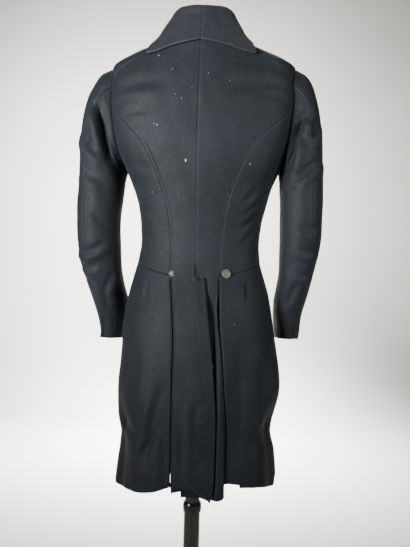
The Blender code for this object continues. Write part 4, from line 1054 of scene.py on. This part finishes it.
# ---------------------------------------------------------------- the form
FORM_ROWS, FORM_TURNS = 130, 132
FORM_BOTTOM, FORM_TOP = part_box("form_torso")[0][2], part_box("form_torso")[1][2]
FORM_SEAMS = (0.0, 90.0, 180.0, 270.0)      # degrees round
SEAM_SINK, SEAM_TURN = 0.0045, 1.6          # share of the radius that a seam sinks, and its degrees
NECK_CAP = ((0.94, 0.0015), (0.985, 0.004), (0.97, 0.0075), (0.90, 0.0095), (0.55, 0.0125),
            (0.2, 0.0135))                  # shares of the neck's width, and heights
PLATE_MIDDLE, PLATE_HALF, PLATE_TURNS = (0.004, 1.352), (0.036, 0.052), 48     # y and z of each
PLATE_RINGS = ((1.0, -0.002), (1.0, 0.0012), (0.93, 0.0026), (0.4, 0.0034))    # size, and how far out


def form_ring(z):
    """A level of the form: the coat's shape drawn in, alike on both sides, with flat arm plates."""
    theta = np.arange(FORM_TURNS) * 2 * math.pi / FORM_TURNS
    inset = 0.0105 + 0.0135 * (1 - ease(z, 0.93, 1.06))
    left = lifted(theta, np.full_like(theta, z), np.full_like(theta, -inset))
    right = lifted(-theta, np.full_like(theta, z), np.full_like(theta, -inset)) * (-1, 1, 1)
    slim = np.where((np.abs(left[:, 0]) < np.abs(right[:, 0]))[:, None], left, right)
    slim[:, 0] = np.clip(slim[:, 0], -FORM_CAP_X, FORM_CAP_X)
    turn = np.degrees(theta)
    for seam in FORM_SEAMS:
        away = np.abs((turn - seam + 180) % 360 - 180)
        slim[:, :2] *= (1 - SEAM_SINK * np.exp(-(away / SEAM_TURN) ** 2))[:, None]
    return slim


def closed_rings(rings, low, high):
    """The points and faces of a stack of rings closed by a point at each end."""
    turns, points, faces = len(rings[0]), np.concatenate([*rings, [low], [high]]), []
    for i in range(len(rings) - 1):
        for k in range(turns):
            a, b = i * turns + k, i * turns + (k + 1) % turns
            faces.append((a, a + turns, b + turns, b))
    last = (len(rings) - 1) * turns
    for k in range(turns):
        faces.append((k, (k + 1) % turns, len(points) - 2))
        faces.append((last + (k + 1) % turns, last + k, len(points) - 1))
    return points, faces


def build_form():
    """The form's jersey cover with its seams, the turned cap on its neck and its arm plates."""
    trunk = [form_ring(z) for z in np.linspace(FORM_BOTTOM + 0.012, FORM_TOP - 0.009, FORM_ROWS)]
    middle, foot = trunk[0].mean(axis=0), []
    for angle in np.radians((0, 30, 60, 90)):
        ring = middle + (trunk[0] - middle) * (0.93 + 0.07 * math.sin(angle))
        ring[:, 2] = FORM_BOTTOM + 0.010 * (1 - math.cos(angle))
        foot.append(ring)
    neck = trunk[-1]
    crown_middle = neck.mean(axis=0)
    crown = crown_middle + (neck - crown_middle) * 0.90 + (0, 0, 0.004)
    points, faces = closed_rings([*foot, *trunk, crown], foot[0].mean(axis=0),
                                 crown.mean(axis=0) + (0, 0, 0.001))
    cover = mesh_object("form_cover", points, faces, "stretched_cotton_jersey")
    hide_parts("form_torso")

    cap = [crown_middle + (neck - crown_middle) * share + (0, 0, rise) for share, rise in NECK_CAP]
    points, faces = closed_rings(cap, crown_middle + (0, 0, 0.0015), crown_middle + (0, 0, 0.0138))
    mesh_object("neck_cap", points, faces, "ebonised_beech")

    turn = np.arange(PLATE_TURNS) * 2 * math.pi / PLATE_TURNS
    for side, sign in (("left", 1), ("right", -1)):
        rings = []
        for share, out in PLATE_RINGS:
            rings.append(np.stack([np.full(PLATE_TURNS, sign * (FORM_CAP_X + out)),
                                   PLATE_MIDDLE[0] + PLATE_HALF[0] * share * np.cos(turn),
                                   PLATE_MIDDLE[1] + PLATE_HALF[1] * share * np.sin(turn)], axis=1))
        points, faces = closed_rings(rings, rings[0].mean(axis=0), rings[-1].mean(axis=0))
        faces = faces if sign < 0 else [face[::-1] for face in faces]
        mesh_object(f"arm_plate_{side}", points, faces, "ebonised_beech")


# ---------------------------------------------------------------- materials
MM = 1000.0               # patterns are laid out in millimetres


def linear(colour):
    """An sRGB hex value such as "#1a1d21" as linear red, green, blue and alpha."""
    parts = [int(colour[i:i + 2], 16) / 255 for i in (1, 3, 5)]
    return [p / 12.92 if p <= 0.04045 else ((p + 0.055) / 1.055) ** 2.4 for p in parts] + [1.0]


def shader_of(name, colour, **constants):
    """A new material's tree and shader, with the shader's constant values set on its sockets."""
    made = bpy.data.materials.new(name)
    made.use_nodes = True
    shader = made.node_tree.nodes["Principled BSDF"]
    shader.inputs["Base Color"].default_value = linear(colour)
    for key, value in constants.items():
        shader.inputs[key.replace("_", " ")].default_value = value
    return made.node_tree, shader


def add(tree, kind, links=None, values=None, **settings):
    """Adds a node: settings are its own properties, values and links its inputs by name or place."""
    node = tree.nodes.new("ShaderNode" + kind)
    for key, value in settings.items():
        setattr(node, key, value)
    for key, value in (values or {}).items():
        node.inputs[key].default_value = value
    for key, source in (links or {}).items():
        source = source.outputs[0] if isinstance(source, bpy.types.Node) else source
        tree.links.new(source, node.inputs[key])
    return node


def stretched(tree, scale):
    """The object's own place in millimetres, each axis multiplied."""
    place = add(tree, "TexCoord").outputs["Object"]
    return add(tree, "Mapping", {"Vector": place}, {"Scale": [MM * s for s in scale]})


def napped_broadcloth(colours):
    """Fulled wool broadcloth with a raised nap: the weave is hidden, the fibres lie down the coat.

    It gives soft dark cloth with a grey bloom where light grazes it, dusty and rubbed at edges.
    """
    tree, shader = shader_of("napped_broadcloth", colours.wool_hex, Roughness=0.6, Sheen_Weight=0.06,
                             Sheen_Roughness=0.5, IOR=1.5, Specular_IOR_Level=colours.wool_gloss)
    shader.inputs["Sheen Tint"].default_value = linear("#c8d2de")
    # uneven fading over a hand's breadth, a mottle 7 mm across, and fibres about 0.5 mm apart
    # drawn at 1.6 mm so that they show
    patches = add(tree, "TexNoise", {"Vector": stretched(tree, (1, 1, 0.8))},
                  {"Scale": 1 / 90, "Detail": 4.0})
    mottle = add(tree, "TexNoise", {"Vector": stretched(tree, (1, 1, 1))},
                 {"Scale": 1 / 7, "Detail": 3.0})
    fibre = add(tree, "TexNoise", {"Vector": stretched(tree, (1, 1, 0.28))},
                {"Scale": 1 / 1.6, "Detail": 4.0, "Roughness": 0.7})
    fade = add(tree, "MapRange", {0: patches.outputs["Fac"]}, {1: 0.42, 2: 0.68, 3: 0.0, 4: 1.0})
    faded = add(tree, "Mix", {"Factor": fade},
                {6: linear(colours.wool_hex), 7: linear(colours.wool_faded_hex)}, data_type="RGBA")
    grain = add(tree, "Math", {0: fibre.outputs["Fac"], 1: mottle.outputs["Fac"]}, operation="ADD")
    shade = add(tree, "MapRange", {0: grain}, {1: 0.7, 2: 1.3, 3: 0.72, 4: 1.28})
    toned = add(tree, "VectorMath", {0: faded.outputs[2], "Scale": shade}, operation="SCALE")
    wear = add(tree, "Attribute", attribute_name="wear")
    rubbed = add(tree, "Math", {0: wear.outputs["Fac"], 1: fibre.outputs["Fac"]}, operation="MULTIPLY")
    worn = add(tree, "Mix", {"Factor": rubbed, 6: toned}, {7: linear(colours.wool_worn_hex)},
               data_type="RGBA")
    # pinpricks of dust, 0.8 mm across, in one of every ten cells 9 mm apart
    dust = add(tree, "TexVoronoi", {"Vector": stretched(tree, (1, 1, 1))}, {"Scale": 1 / 9})
    near = add(tree, "Math", {0: dust.outputs["Distance"]}, {1: 0.045}, operation="LESS_THAN")
    few = add(tree, "SeparateColor", {0: dust.outputs["Color"]})
    some = add(tree, "Math", {0: few}, {1: 0.90}, operation="GREATER_THAN")
    speck = add(tree, "Math", {0: near, 1: some}, operation="MULTIPLY")
    dusty = add(tree, "Mix", {"Factor": speck, 6: worn.outputs[2]}, {7: linear("#6f7277")},
                data_type="RGBA")
    tree.links.new(dusty.outputs[2], shader.inputs["Base Color"])
    rough = add(tree, "MapRange", {0: mottle.outputs["Fac"]}, {1: 0.3, 2: 0.7, 3: 0.60, 4: 0.74})
    tree.links.new(rough.outputs[0], shader.inputs["Roughness"])
    height = add(tree, "Math", {0: fibre.outputs["Fac"], 1: mottle.outputs["Fac"]}, operation="ADD")
    bump = add(tree, "Bump", {"Height": height}, {"Strength": 0.9, "Distance": 0.0006})
    tree.links.new(bump.outputs[0], shader.inputs["Normal"])


def smooth_facing_cloth(colours):
    """Closely woven worsted facing: smoother and a shade lighter, its thread too fine to tell apart."""
    tree, shader = shader_of("smooth_facing_cloth", colours.collar_hex, Roughness=0.6, Sheen_Weight=0.10,
                             Sheen_Roughness=0.4, IOR=1.5, Specular_IOR_Level=colours.collar_gloss)
    # threads at their real 0.35 mm: 1.1 mm times the 2 pi / 20 that one wave of the pattern takes
    cloth = add(tree, "UVMap", uv_map="cloth")
    place = add(tree, "Mapping", {"Vector": cloth}, {"Scale": (MM / 1.1, MM / 1.1, 1)})
    warp = add(tree, "TexWave", {"Vector": place}, {"Scale": 1.0, "Distortion": 0.6, "Detail": 2.0},
               bands_direction="X")
    weft = add(tree, "TexWave", {"Vector": place}, {"Scale": 1.0, "Distortion": 0.6, "Detail": 2.0},
               bands_direction="Y")
    weave = add(tree, "Math", {0: warp.outputs["Fac"], 1: weft.outputs["Fac"]}, operation="MULTIPLY")
    mottle = add(tree, "TexNoise", {"Vector": stretched(tree, (1, 1, 1))},
                 {"Scale": 1 / 14, "Detail": 4.0})
    tone = add(tree, "MapRange", {0: mottle.outputs["Fac"]}, {1: 0.35, 2: 0.65, 3: 0.86, 4: 1.14})
    thread = add(tree, "MapRange", {0: weave}, {1: 0.0, 2: 1.0, 3: 0.93, 4: 1.06})
    both = add(tree, "Math", {0: tone, 1: thread}, operation="MULTIPLY")
    toned = add(tree, "VectorMath", {"Scale": both}, {0: linear(colours.collar_hex)[:3]}, operation="SCALE")
    wear = add(tree, "Attribute", attribute_name="wear")
    rubbed = add(tree, "Math", {0: wear.outputs["Fac"], 1: mottle.outputs["Fac"]}, operation="MULTIPLY")
    worn = add(tree, "Mix", {"Factor": rubbed, 6: toned}, {7: linear(colours.wool_worn_hex)},
               data_type="RGBA")
    tree.links.new(worn.outputs[2], shader.inputs["Base Color"])
    bump = add(tree, "Bump", {"Height": weave}, {"Strength": 0.18, "Distance": 0.0002})
    tree.links.new(bump.outputs[0], shader.inputs["Normal"])


def faded_button_twill(colours):
    """Silk twill gone olive grey over a wooden mould, dull, with a fine diagonal."""
    tree, shader = shader_of("faded_button_twill", colours.button_hex, Roughness=0.5, Sheen_Weight=0.2)
    slant = add(tree, "Mapping", {"Vector": add(tree, "TexCoord").outputs["Object"]},
                {"Scale": (MM, MM, MM), "Rotation": (0, math.radians(40), 0)})
    # twill lines 0.5 mm apart, drawn at 0.9 mm
    lines = add(tree, "TexWave", {"Vector": slant},
                {"Scale": 2 * math.pi / 0.9 / 20, "Distortion": 0.5})
    stain = add(tree, "TexNoise", {"Vector": stretched(tree, (1, 1, 1))},
                {"Scale": 1 / 5, "Detail": 3.0})
    tone = add(tree, "Mix", {"Factor": stain.outputs["Fac"]},
               {6: linear(colours.button_hex), 7: linear("#5d5c52")}, data_type="RGBA")
    tree.links.new(tone.outputs[2], shader.inputs["Base Color"])
    bump = add(tree, "Bump", {"Height": lines.outputs["Fac"]}, {"Strength": 0.3, "Distance": 0.0002})
    tree.links.new(bump.outputs[0], shader.inputs["Normal"])


def plain_thread(name, colour, sheen):
    """Twisted sewing thread, its twist a fine bump."""
    tree, shader = shader_of(name, colour, Roughness=0.55, Sheen_Weight=sheen)
    twist = add(tree, "TexNoise", {"Vector": stretched(tree, (1, 1, 1))},
                {"Scale": 1 / 0.5, "Detail": 2.0})
    tone = add(tree, "MapRange", {0: twist.outputs["Fac"]}, {1: 0.3, 2: 0.7, 3: 0.8, 4: 1.15})
    toned = add(tree, "VectorMath", {"Scale": tone}, {0: linear(colour)[:3]}, operation="SCALE")
    tree.links.new(toned.outputs[0], shader.inputs["Base Color"])
    bump = add(tree, "Bump", {"Height": twist.outputs["Fac"]}, {"Strength": 0.3, "Distance": 0.0001})
    tree.links.new(bump.outputs[0], shader.inputs["Normal"])


def stretched_cotton_jersey(colours):
    """Fine cotton jersey pulled tight over a moulded shell: pale, matt, ribbed by its wales."""
    tree, shader = shader_of("stretched_cotton_jersey", colours.jersey_hex, Roughness=0.85,
                             Sheen_Weight=0.25)
    # wales 0.8 mm apart, drawn at 1.6 mm; soiling over the width of a hand
    wales = add(tree, "TexWave", {"Vector": stretched(tree, (1, 1, 0.02))},
                {"Scale": 2 * math.pi / 1.6 / 20, "Distortion": 1.5, "Detail": 2.0, "Detail Scale": 0.4},
                bands_direction="X")
    soil = add(tree, "TexNoise", {"Vector": stretched(tree, (1, 1, 0.7))},
               {"Scale": 1 / 80, "Detail": 5.0})
    dirty = add(tree, "MapRange", {0: soil.outputs["Fac"]}, {1: 0.45, 2: 0.75, 3: 0.0, 4: 0.6})
    tone = add(tree, "Mix", {"Factor": dirty}, {6: linear(colours.jersey_hex), 7: linear("#bcb09a")},
               data_type="RGBA")
    tree.links.new(tone.outputs[2], shader.inputs["Base Color"])
    bump = add(tree, "Bump", {"Height": wales.outputs["Fac"]}, {"Strength": 0.25, "Distance": 0.0003})
    tree.links.new(bump.outputs[0], shader.inputs["Normal"])


def lacquered_steel(colours):
    """Drawn steel tube under a thin brown-grey lacquer: satin, with faint lengthwise drawing marks."""
    tree, shader = shader_of("lacquered_steel", colours.steel_hex, Roughness=0.3, Metallic=0.6,
                             Coat_Weight=0.3, Coat_Roughness=0.2)
    # drawing marks 1.3 mm apart and about 110 mm long, and scuffs 12 mm across
    marks = add(tree, "TexNoise", {"Vector": stretched(tree, (1, 1, 0.012))},
                {"Scale": 1 / 1.3, "Detail": 4.0})
    scuffs = add(tree, "TexNoise", {"Vector": stretched(tree, (1, 1, 0.5))},
                 {"Scale": 1 / 12, "Detail": 5.0})
    tone = add(tree, "Mix", {"Factor": scuffs.outputs["Fac"]},
               {6: linear(colours.steel_hex), 7: linear("#44413d")}, data_type="RGBA")
    tree.links.new(tone.outputs[2], shader.inputs["Base Color"])
    rough = add(tree, "MapRange", {0: marks.outputs["Fac"]}, {1: 0.3, 2: 0.7, 3: 0.24, 4: 0.42})
    tree.links.new(rough.outputs[0], shader.inputs["Roughness"])
    bump = add(tree, "Bump", {"Height": marks.outputs["Fac"]}, {"Strength": 0.08, "Distance": 0.0002})
    tree.links.new(bump.outputs[0], shader.inputs["Normal"])


def black_finish(name, colour, roughness, lacquer, grain_mm, strength):
    """A black surface: moulded and glossy, or enamelled, or ebonised wood, by its gloss and grain."""
    tree, shader = shader_of(name, colour, Roughness=roughness, Coat_Weight=lacquer,
                             Coat_Roughness=0.1)
    grain = add(tree, "TexNoise", {"Vector": stretched(tree, (1, 1, 1))},
                {"Scale": 1 / grain_mm, "Detail": 4.0})
    rough = add(tree, "MapRange", {0: grain.outputs["Fac"]},
                {1: 0.3, 2: 0.7, 3: roughness * 0.8, 4: roughness * 1.3})
    tree.links.new(rough.outputs[0], shader.inputs["Roughness"])
    bump = add(tree, "Bump", {"Height": grain.outputs["Fac"]}, {"Strength": strength, "Distance": 0.0002})
    tree.links.new(bump.outputs[0], shader.inputs["Normal"])


def matt_studio_paint(colour):
    """Flat emulsion on the studio's floor and wall, with the faintest unevenness."""
    tree, shader = shader_of("matt_studio_paint", colour, Roughness=0.9)
    cloud = add(tree, "TexNoise", {"Vector": stretched(tree, (1, 1, 1))},
                {"Scale": 1 / 700, "Detail": 2.0})
    tone = add(tree, "MapRange", {0: cloud.outputs["Fac"]}, {1: 0.3, 2: 0.7, 3: 0.98, 4: 1.02})
    toned = add(tree, "VectorMath", {"Scale": tone}, {0: linear(colour)[:3]}, operation="SCALE")
    tree.links.new(toned.outputs[0], shader.inputs["Base Color"])
    return bpy.data.materials["matt_studio_paint"]


# ---------------------------------------------------------------- settings a user may change
class CoatSettings(bpy.types.PropertyGroup):
    """Sizes of the coat's sewing and the depth of its creases."""
    seam_depth: bpy.props.FloatProperty(name="Seam depth", description="How far a seam sinks",
                                        default=0.0003, unit="LENGTH", precision=5)
    pucker: bpy.props.FloatProperty(name="Pucker", description="Ripple of the cloth beside a seam",
                                    default=0.00016, unit="LENGTH", precision=5)
    crease: bpy.props.FloatProperty(name="Creases", description="Depth of the folds, as a share",
                                    default=1.4, subtype="FACTOR")
    slack: bpy.props.FloatProperty(name="Slack", description="Long shallow waves in the cloth",
                                   default=0.0011, unit="LENGTH", precision=5)
    stitch_pitch: bpy.props.FloatProperty(name="Stitch", description="From one stitch to the next",
                                          default=0.0030, unit="LENGTH", precision=5)
    thread: bpy.props.FloatProperty(name="Thread", description="Thickness of the sewing thread",
                                    default=0.00045, unit="LENGTH", precision=5)


class ColourSettings(bpy.types.PropertyGroup):
    """The finishes' colours, as sRGB hex, and how glossy the cloths are."""
    wool_hex: bpy.props.StringProperty(name="Wool", description="Broadcloth", default="#15191e")
    wool_faded_hex: bpy.props.StringProperty(name="Faded wool", description="Where it has greyed",
                                             default="#1a1f25")
    wool_worn_hex: bpy.props.StringProperty(name="Rubbed wool", description="Along edges and seams",
                                            default="#2c3138")
    wool_gloss: bpy.props.FloatProperty(name="Wool gloss", description="Specular level", default=0.26,
                                        subtype="FACTOR")
    collar_hex: bpy.props.StringProperty(name="Collar", description="Facing cloth", default="#25272c")
    collar_gloss: bpy.props.FloatProperty(name="Collar gloss", description="Specular level", default=0.3,
                                          subtype="FACTOR")
    button_hex: bpy.props.StringProperty(name="Button", description="Covered button", default="#35352f")
    jersey_hex: bpy.props.StringProperty(name="Jersey", description="The form's cover", default="#d9d2c3")
    steel_hex: bpy.props.StringProperty(name="Steel", description="The stand's pole", default="#4a4743")


class StageSettings(bpy.types.PropertyGroup):
    """The studio round the coat."""
    paint_hex: bpy.props.StringProperty(name="Paint", description="Floor and wall", default="#e9e7e2")
    key: bpy.props.FloatProperty(name="Key light", description="Large soft light by the camera",
                                 default=11.5, unit="POWER")
    key_spread: bpy.props.FloatProperty(name="Key spread", description="Angle of the key light's grid",
                                        default=math.radians(40.0), subtype="ANGLE")
    fill: bpy.props.FloatProperty(name="Fill light", description="Soft light from the other side",
                                  default=4.5, unit="POWER")
    wall: bpy.props.FloatProperty(name="Wall light", description="Light on the wall behind",
                                  default=165.0, unit="POWER")
    floor: bpy.props.FloatProperty(name="Floor light", description="Light on the floor behind",
                                   default=140.0, unit="POWER")
    front: bpy.props.FloatProperty(name="Front light", description="Soft light on the coat's front",
                                   default=9.0, unit="POWER")
    sky: bpy.props.FloatProperty(name="Ambient", description="Strength of the even light", default=0.06)
    camera_distance: bpy.props.FloatProperty(name="Camera distance", description="From the pole",
                                             default=1.40, unit="LENGTH")
    camera_turn: bpy.props.FloatProperty(name="Camera turn", description="Round from straight behind",
                                         default=math.radians(4.0), subtype="ANGLE")
    camera_roll: bpy.props.FloatProperty(name="Camera roll", description="Tilt of the picture",
                                         default=math.radians(1.544), subtype="ANGLE")
    camera_high: bpy.props.FloatProperty(name="Camera height", description="Above the floor", default=1.0,
                                         unit="LENGTH")
    camera_side: bpy.props.FloatProperty(name="Camera shift", description="Step to the picture's right",
                                         default=0.01494, unit="LENGTH", precision=5)
    camera_view: bpy.props.FloatProperty(name="Camera view", description="Angle seen from top to bottom",
                                         default=math.radians(47.47), subtype="ANGLE")


# ---------------------------------------------------------------- operators
class TAILCOAT_OT_finishes(bpy.types.Operator):
    """Make the materials"""
    bl_idname = "tailcoat.finishes"
    bl_label = "Cloths and finishes"

    def execute(self, context):
        colours = context.scene.tailcoat_colours
        napped_broadcloth(colours)
        smooth_facing_cloth(colours)
        faded_button_twill(colours)
        plain_thread("silk_thread", "#2a2e34", 0.1)
        plain_thread("linen_thread", "#d8d2c0", 0.3)
        plain_thread("ochre_thread", "#a98c55", 0.3)
        plain_thread("lint", "#b4b6b8", 0.2)
        stretched_cotton_jersey(colours)
        lacquered_steel(colours)
        black_finish("glossy_moulded_ring", "#0d0d0e", 0.14, 0.6, 3.0, 0.02)
        black_finish("satin_black_enamel", "#141415", 0.32, 0.4, 1.2, 0.10)
        black_finish("ebonised_beech", "#17130f", 0.38, 0.3, 2.0, 0.12)
        return {"FINISHED"}


class TAILCOAT_OT_backs(bpy.types.Operator):
    """Make the two back panels"""
    bl_idname = "tailcoat.backs"
    bl_label = "Back panels"

    def execute(self, context):
        for side in ("right", "left"):
            build_back(side, context.scene.tailcoat_sewing)
        return {"FINISHED"}


class TAILCOAT_OT_sides(bpy.types.Operator):
    """Make the two side bodies"""
    bl_idname = "tailcoat.sides"
    bl_label = "Side bodies"

    def execute(self, context):
        for side in ("left", "right"):
            build_side(side, context.scene.tailcoat_sewing)
        return {"FINISHED"}


class TAILCOAT_OT_fronts(bpy.types.Operator):
    """Make the two fronts"""
    bl_idname = "tailcoat.fronts"
    bl_label = "Fronts"

    def execute(self, context):
        for side in ("left", "right"):
            build_front(side, context.scene.tailcoat_sewing)
        return {"FINISHED"}


class TAILCOAT_OT_skirts(bpy.types.Operator):
    """Make the tails' side skirts"""
    bl_idname = "tailcoat.skirts"
    bl_label = "Side skirts"

    def execute(self, context):
        for side in ("left", "right"):
            build_skirt(side, context.scene.tailcoat_sewing)
        return {"FINISHED"}


class TAILCOAT_OT_sleeves(bpy.types.Operator):
    """Make both sleeves, each of two pieces, and the laps under their open cuffs"""
    bl_idname = "tailcoat.sleeves"
    bl_label = "Sleeves"

    def execute(self, context):
        sewing = context.scene.tailcoat_sewing
        for side in ("left", "right"):
            build_sleeve("topsleeve", side, FORE_SEAM - 360, HIND_SEAM, TOPSLEEVE_COLUMNS, sewing)
            under = build_sleeve("undersleeve", side, HIND_SEAM, FORE_SEAM, UNDERSLEEVE_COLUMNS, sewing)
            lap = build_underlap(side)
            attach(lap, "form")
        return {"FINISHED"}


class TAILCOAT_OT_shawl(bpy.types.Operator):
    """Make the shawl collar"""
    bl_idname = "tailcoat.shawl"
    bl_label = "Shawl collar"

    def execute(self, context):
        for side in ("left", "right"):
            build_shawl(side, context.scene.tailcoat_sewing)
        return {"FINISHED"}


class TAILCOAT_OT_stitching(bpy.types.Operator):
    """Sew the rows of stitches along the back's seams and the bar tack over the vent"""
    bl_idname = "tailcoat.stitching"
    bl_label = "Stitching"

    def execute(self, context):
        sewing = context.scene.tailcoat_sewing
        z = np.linspace(VENT_Z + 0.004, 1.482, 120)
        for name, x in (("left", 0.0031), ("right", -0.0031)):
            places = np.stack([theta_at(np.full(z.shape, x), z), z], axis=1)
            stitched(f"stitching_centre_{name}", places, sewing)
        for side, sign in (("left", 1), ("right", -1)):
            seam = side_back_seam(sign)
            seam[:, 0] -= sign * 0.0034 / PANEL_RADIUS
            stitched(f"stitching_side_back_{side}", seam[2:-3], sewing)
        x = np.linspace(0.0025, -0.0205, 30)
        z = np.full(x.shape, VENT_Z + 0.0012)
        bar = np.stack([theta_at(x, z), z], axis=1)
        for step in range(3):
            stitched(f"bar_tack_{step}", bar + (0, 0.0006 * step), sewing)
        return {"FINISHED"}


class TAILCOAT_OT_trimmings(bpy.types.Operator):
    """Make the covered button, the torn threads and the lint"""
    bl_idname = "tailcoat.trimmings"
    bl_label = "Button, threads and lint"

    def execute(self, context):
        x, z = LOST_BUTTON
        build_button()
        torn_threads("torn_threads_left", x, z, 16, 0.0100, "linen_thread", 3)
        torn_threads("torn_twist_left", x - 0.001, z + 0.003, 5, 0.006, "ochre_thread", 5)
        torn_threads("hanging_thread_right", -0.0565, 0.549, 3, 0.020, "silk_thread", 8, hang=2.4)
        build_lint()
        return {"FINISHED"}


class TAILCOAT_OT_form(bpy.types.Operator):
    """Make the dress form"""
    bl_idname = "tailcoat.form"
    bl_label = "Dress form"

    def execute(self, context):
        build_form()
        return {"FINISHED"}


class TAILCOAT_OT_stand(bpy.types.Operator):
    """Finish the stand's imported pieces"""
    bl_idname = "tailcoat.stand"
    bl_label = "Stand"

    def execute(self, context):
        finishes = {"mast": "lacquered_steel", "stand_tube": "lacquered_steel",
                    "stand_ring": "glossy_moulded_ring", "stand_foot": "satin_black_enamel"}
        for node, finish in finishes.items():
            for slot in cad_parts[node].material_slots:
                slot.material = bpy.data.materials[finish]
        return {"FINISHED"}


class TAILCOAT_OT_stage(bpy.types.Operator):
    """Set up the floor, wall, lights and camera"""
    bl_idname = "tailcoat.stage"
    bl_label = "Studio"

    def execute(self, context):
        stage = context.scene.tailcoat_stage
        paint = matt_studio_paint(stage.paint_hex)
        # one painted sweep: floor, a wide curve, and the wall far in front of the coat
        angles = np.radians(np.arange(0, 91, 6))
        bend = [(1.6 * math.sin(angle) + 2.6, 1.6 * (1 - math.cos(angle))) for angle in angles]
        sweep = [(-9.0, 0.0), (0.0, 0.0), *bend, (4.2, 7.0)]
        mesh = bpy.data.meshes.new("studio_sweep")
        points = [(x, -away, high - 0.0005) for away, high in sweep for x in (-9.0, 9.0)]
        strips = [(2 * k, 2 * k + 1, 2 * k + 3, 2 * k + 2) for k in range(len(sweep) - 1)]
        mesh.from_pydata(points, [], strips)
        mesh.shade_smooth()
        mesh.materials.append(paint)
        made = bpy.data.objects.new("studio_sweep", mesh)
        context.scene.collection.objects.link(made)
        for name, place, aim, size, watts, spread in (
                ("key", (1.65, 2.05, 1.34), (0.03, 0, 1.33), 0.8, stage.key, stage.key_spread),
                ("fill", (-2.2, 1.5, 1.6), (0, 0, 1.25), 0.9, stage.fill, math.radians(45)),
                ("wall_wash", (0.9, -2.5, 1.55), (0.8, -4.0, 1.55), 2.4, stage.wall, math.radians(130)),
                ("floor_wash", (0.3, -2.3, 3.0), (0.3, -2.3, 0.0), 1.2, stage.floor, math.radians(62)),
                ("front", (0.2, -2.3, 3.1), (0.0, 0.0, 1.1), 1.2, stage.front, math.radians(50))):
            light = bpy.data.lights.new(name, "AREA")
            light.energy, light.size, light.spread = watts, size, spread
            lamp = bpy.data.objects.new(name, light)
            lamp.location = place
            away = np.array(place, float) - np.array(aim, float)
            lamp.rotation_euler = (math.atan2(math.hypot(away[0], away[1]), away[2]), 0,
                                   math.atan2(away[0], -away[1]))
            context.scene.collection.objects.link(lamp)

        world = bpy.data.worlds.new("studio_air")
        world.use_nodes = True
        sky = world.node_tree.nodes["Background"]
        sky.inputs["Color"].default_value = linear("#f1f0ee")
        sky.inputs["Strength"].default_value = stage.sky
        context.scene.world = world

        turn, roll = stage.camera_turn, stage.camera_roll
        across = -np.array((math.cos(turn), math.sin(turn), 0.0))
        ahead = np.array((math.sin(turn), -math.cos(turn), 0.0))
        up = np.array((0.0, 0.0, 1.0))
        place = -ahead * stage.camera_distance + across * stage.camera_side + up * stage.camera_high
        right = across * math.cos(roll) + up * math.sin(roll)
        over = up * math.cos(roll) - across * math.sin(roll)
        view = bpy.data.cameras.new("view")
        view.sensor_fit, view.angle = "VERTICAL", stage.camera_view
        camera = bpy.data.objects.new("view", view)
        columns = [right, over, -ahead]
        rows = [[*axis, 0] for axis in columns] + [[*place, 1]]
        camera.matrix_world = mathutils.Matrix(rows).transposed()
        context.scene.collection.objects.link(camera)
        bpy.context.scene.camera = camera
        return {"FINISHED"}


class TAILCOAT_PT_pieces(bpy.types.Panel):
    """The coat's pieces, in the order they are made"""
    bl_idname = "TAILCOAT_PT_pieces"
    bl_label = "Tailcoat"
    bl_space_type = "VIEW_3D"
    bl_region_type = "UI"
    bl_category = "Tailcoat"

    def draw(self, context):
        for operator in OPERATORS:
            self.layout.operator(operator.bl_idname)
        for settings in (context.scene.tailcoat_sewing, context.scene.tailcoat_colours,
                         context.scene.tailcoat_stage):
            box = self.layout.box()
            for name in settings.__annotations__:
                box.prop(settings, name)


SETTINGS = {"tailcoat_sewing": CoatSettings, "tailcoat_colours": ColourSettings,
            "tailcoat_stage": StageSettings}
OPERATORS = (TAILCOAT_OT_finishes, TAILCOAT_OT_stage, TAILCOAT_OT_backs, TAILCOAT_OT_sides,
             TAILCOAT_OT_fronts, TAILCOAT_OT_skirts, TAILCOAT_OT_sleeves, TAILCOAT_OT_shawl,
             TAILCOAT_OT_stitching, TAILCOAT_OT_trimmings, TAILCOAT_OT_form, TAILCOAT_OT_stand)


def register():
    for made in (*SETTINGS.values(), *OPERATORS, TAILCOAT_PT_pieces):
        bpy.utils.register_class(made)
    for name, group in SETTINGS.items():
        setattr(bpy.types.Scene, name, bpy.props.PointerProperty(type=group))


def unregister():
    for name in SETTINGS:
        delattr(bpy.types.Scene, name)
    for made in reversed((*SETTINGS.values(), *OPERATORS, TAILCOAT_PT_pieces)):
        bpy.utils.unregister_class(made)


def main():
    register()
    for operator in OPERATORS:
        group, name = operator.bl_idname.split(".")
        getattr(getattr(bpy.ops, group), name)()


if __name__ == "__main__":
    main()
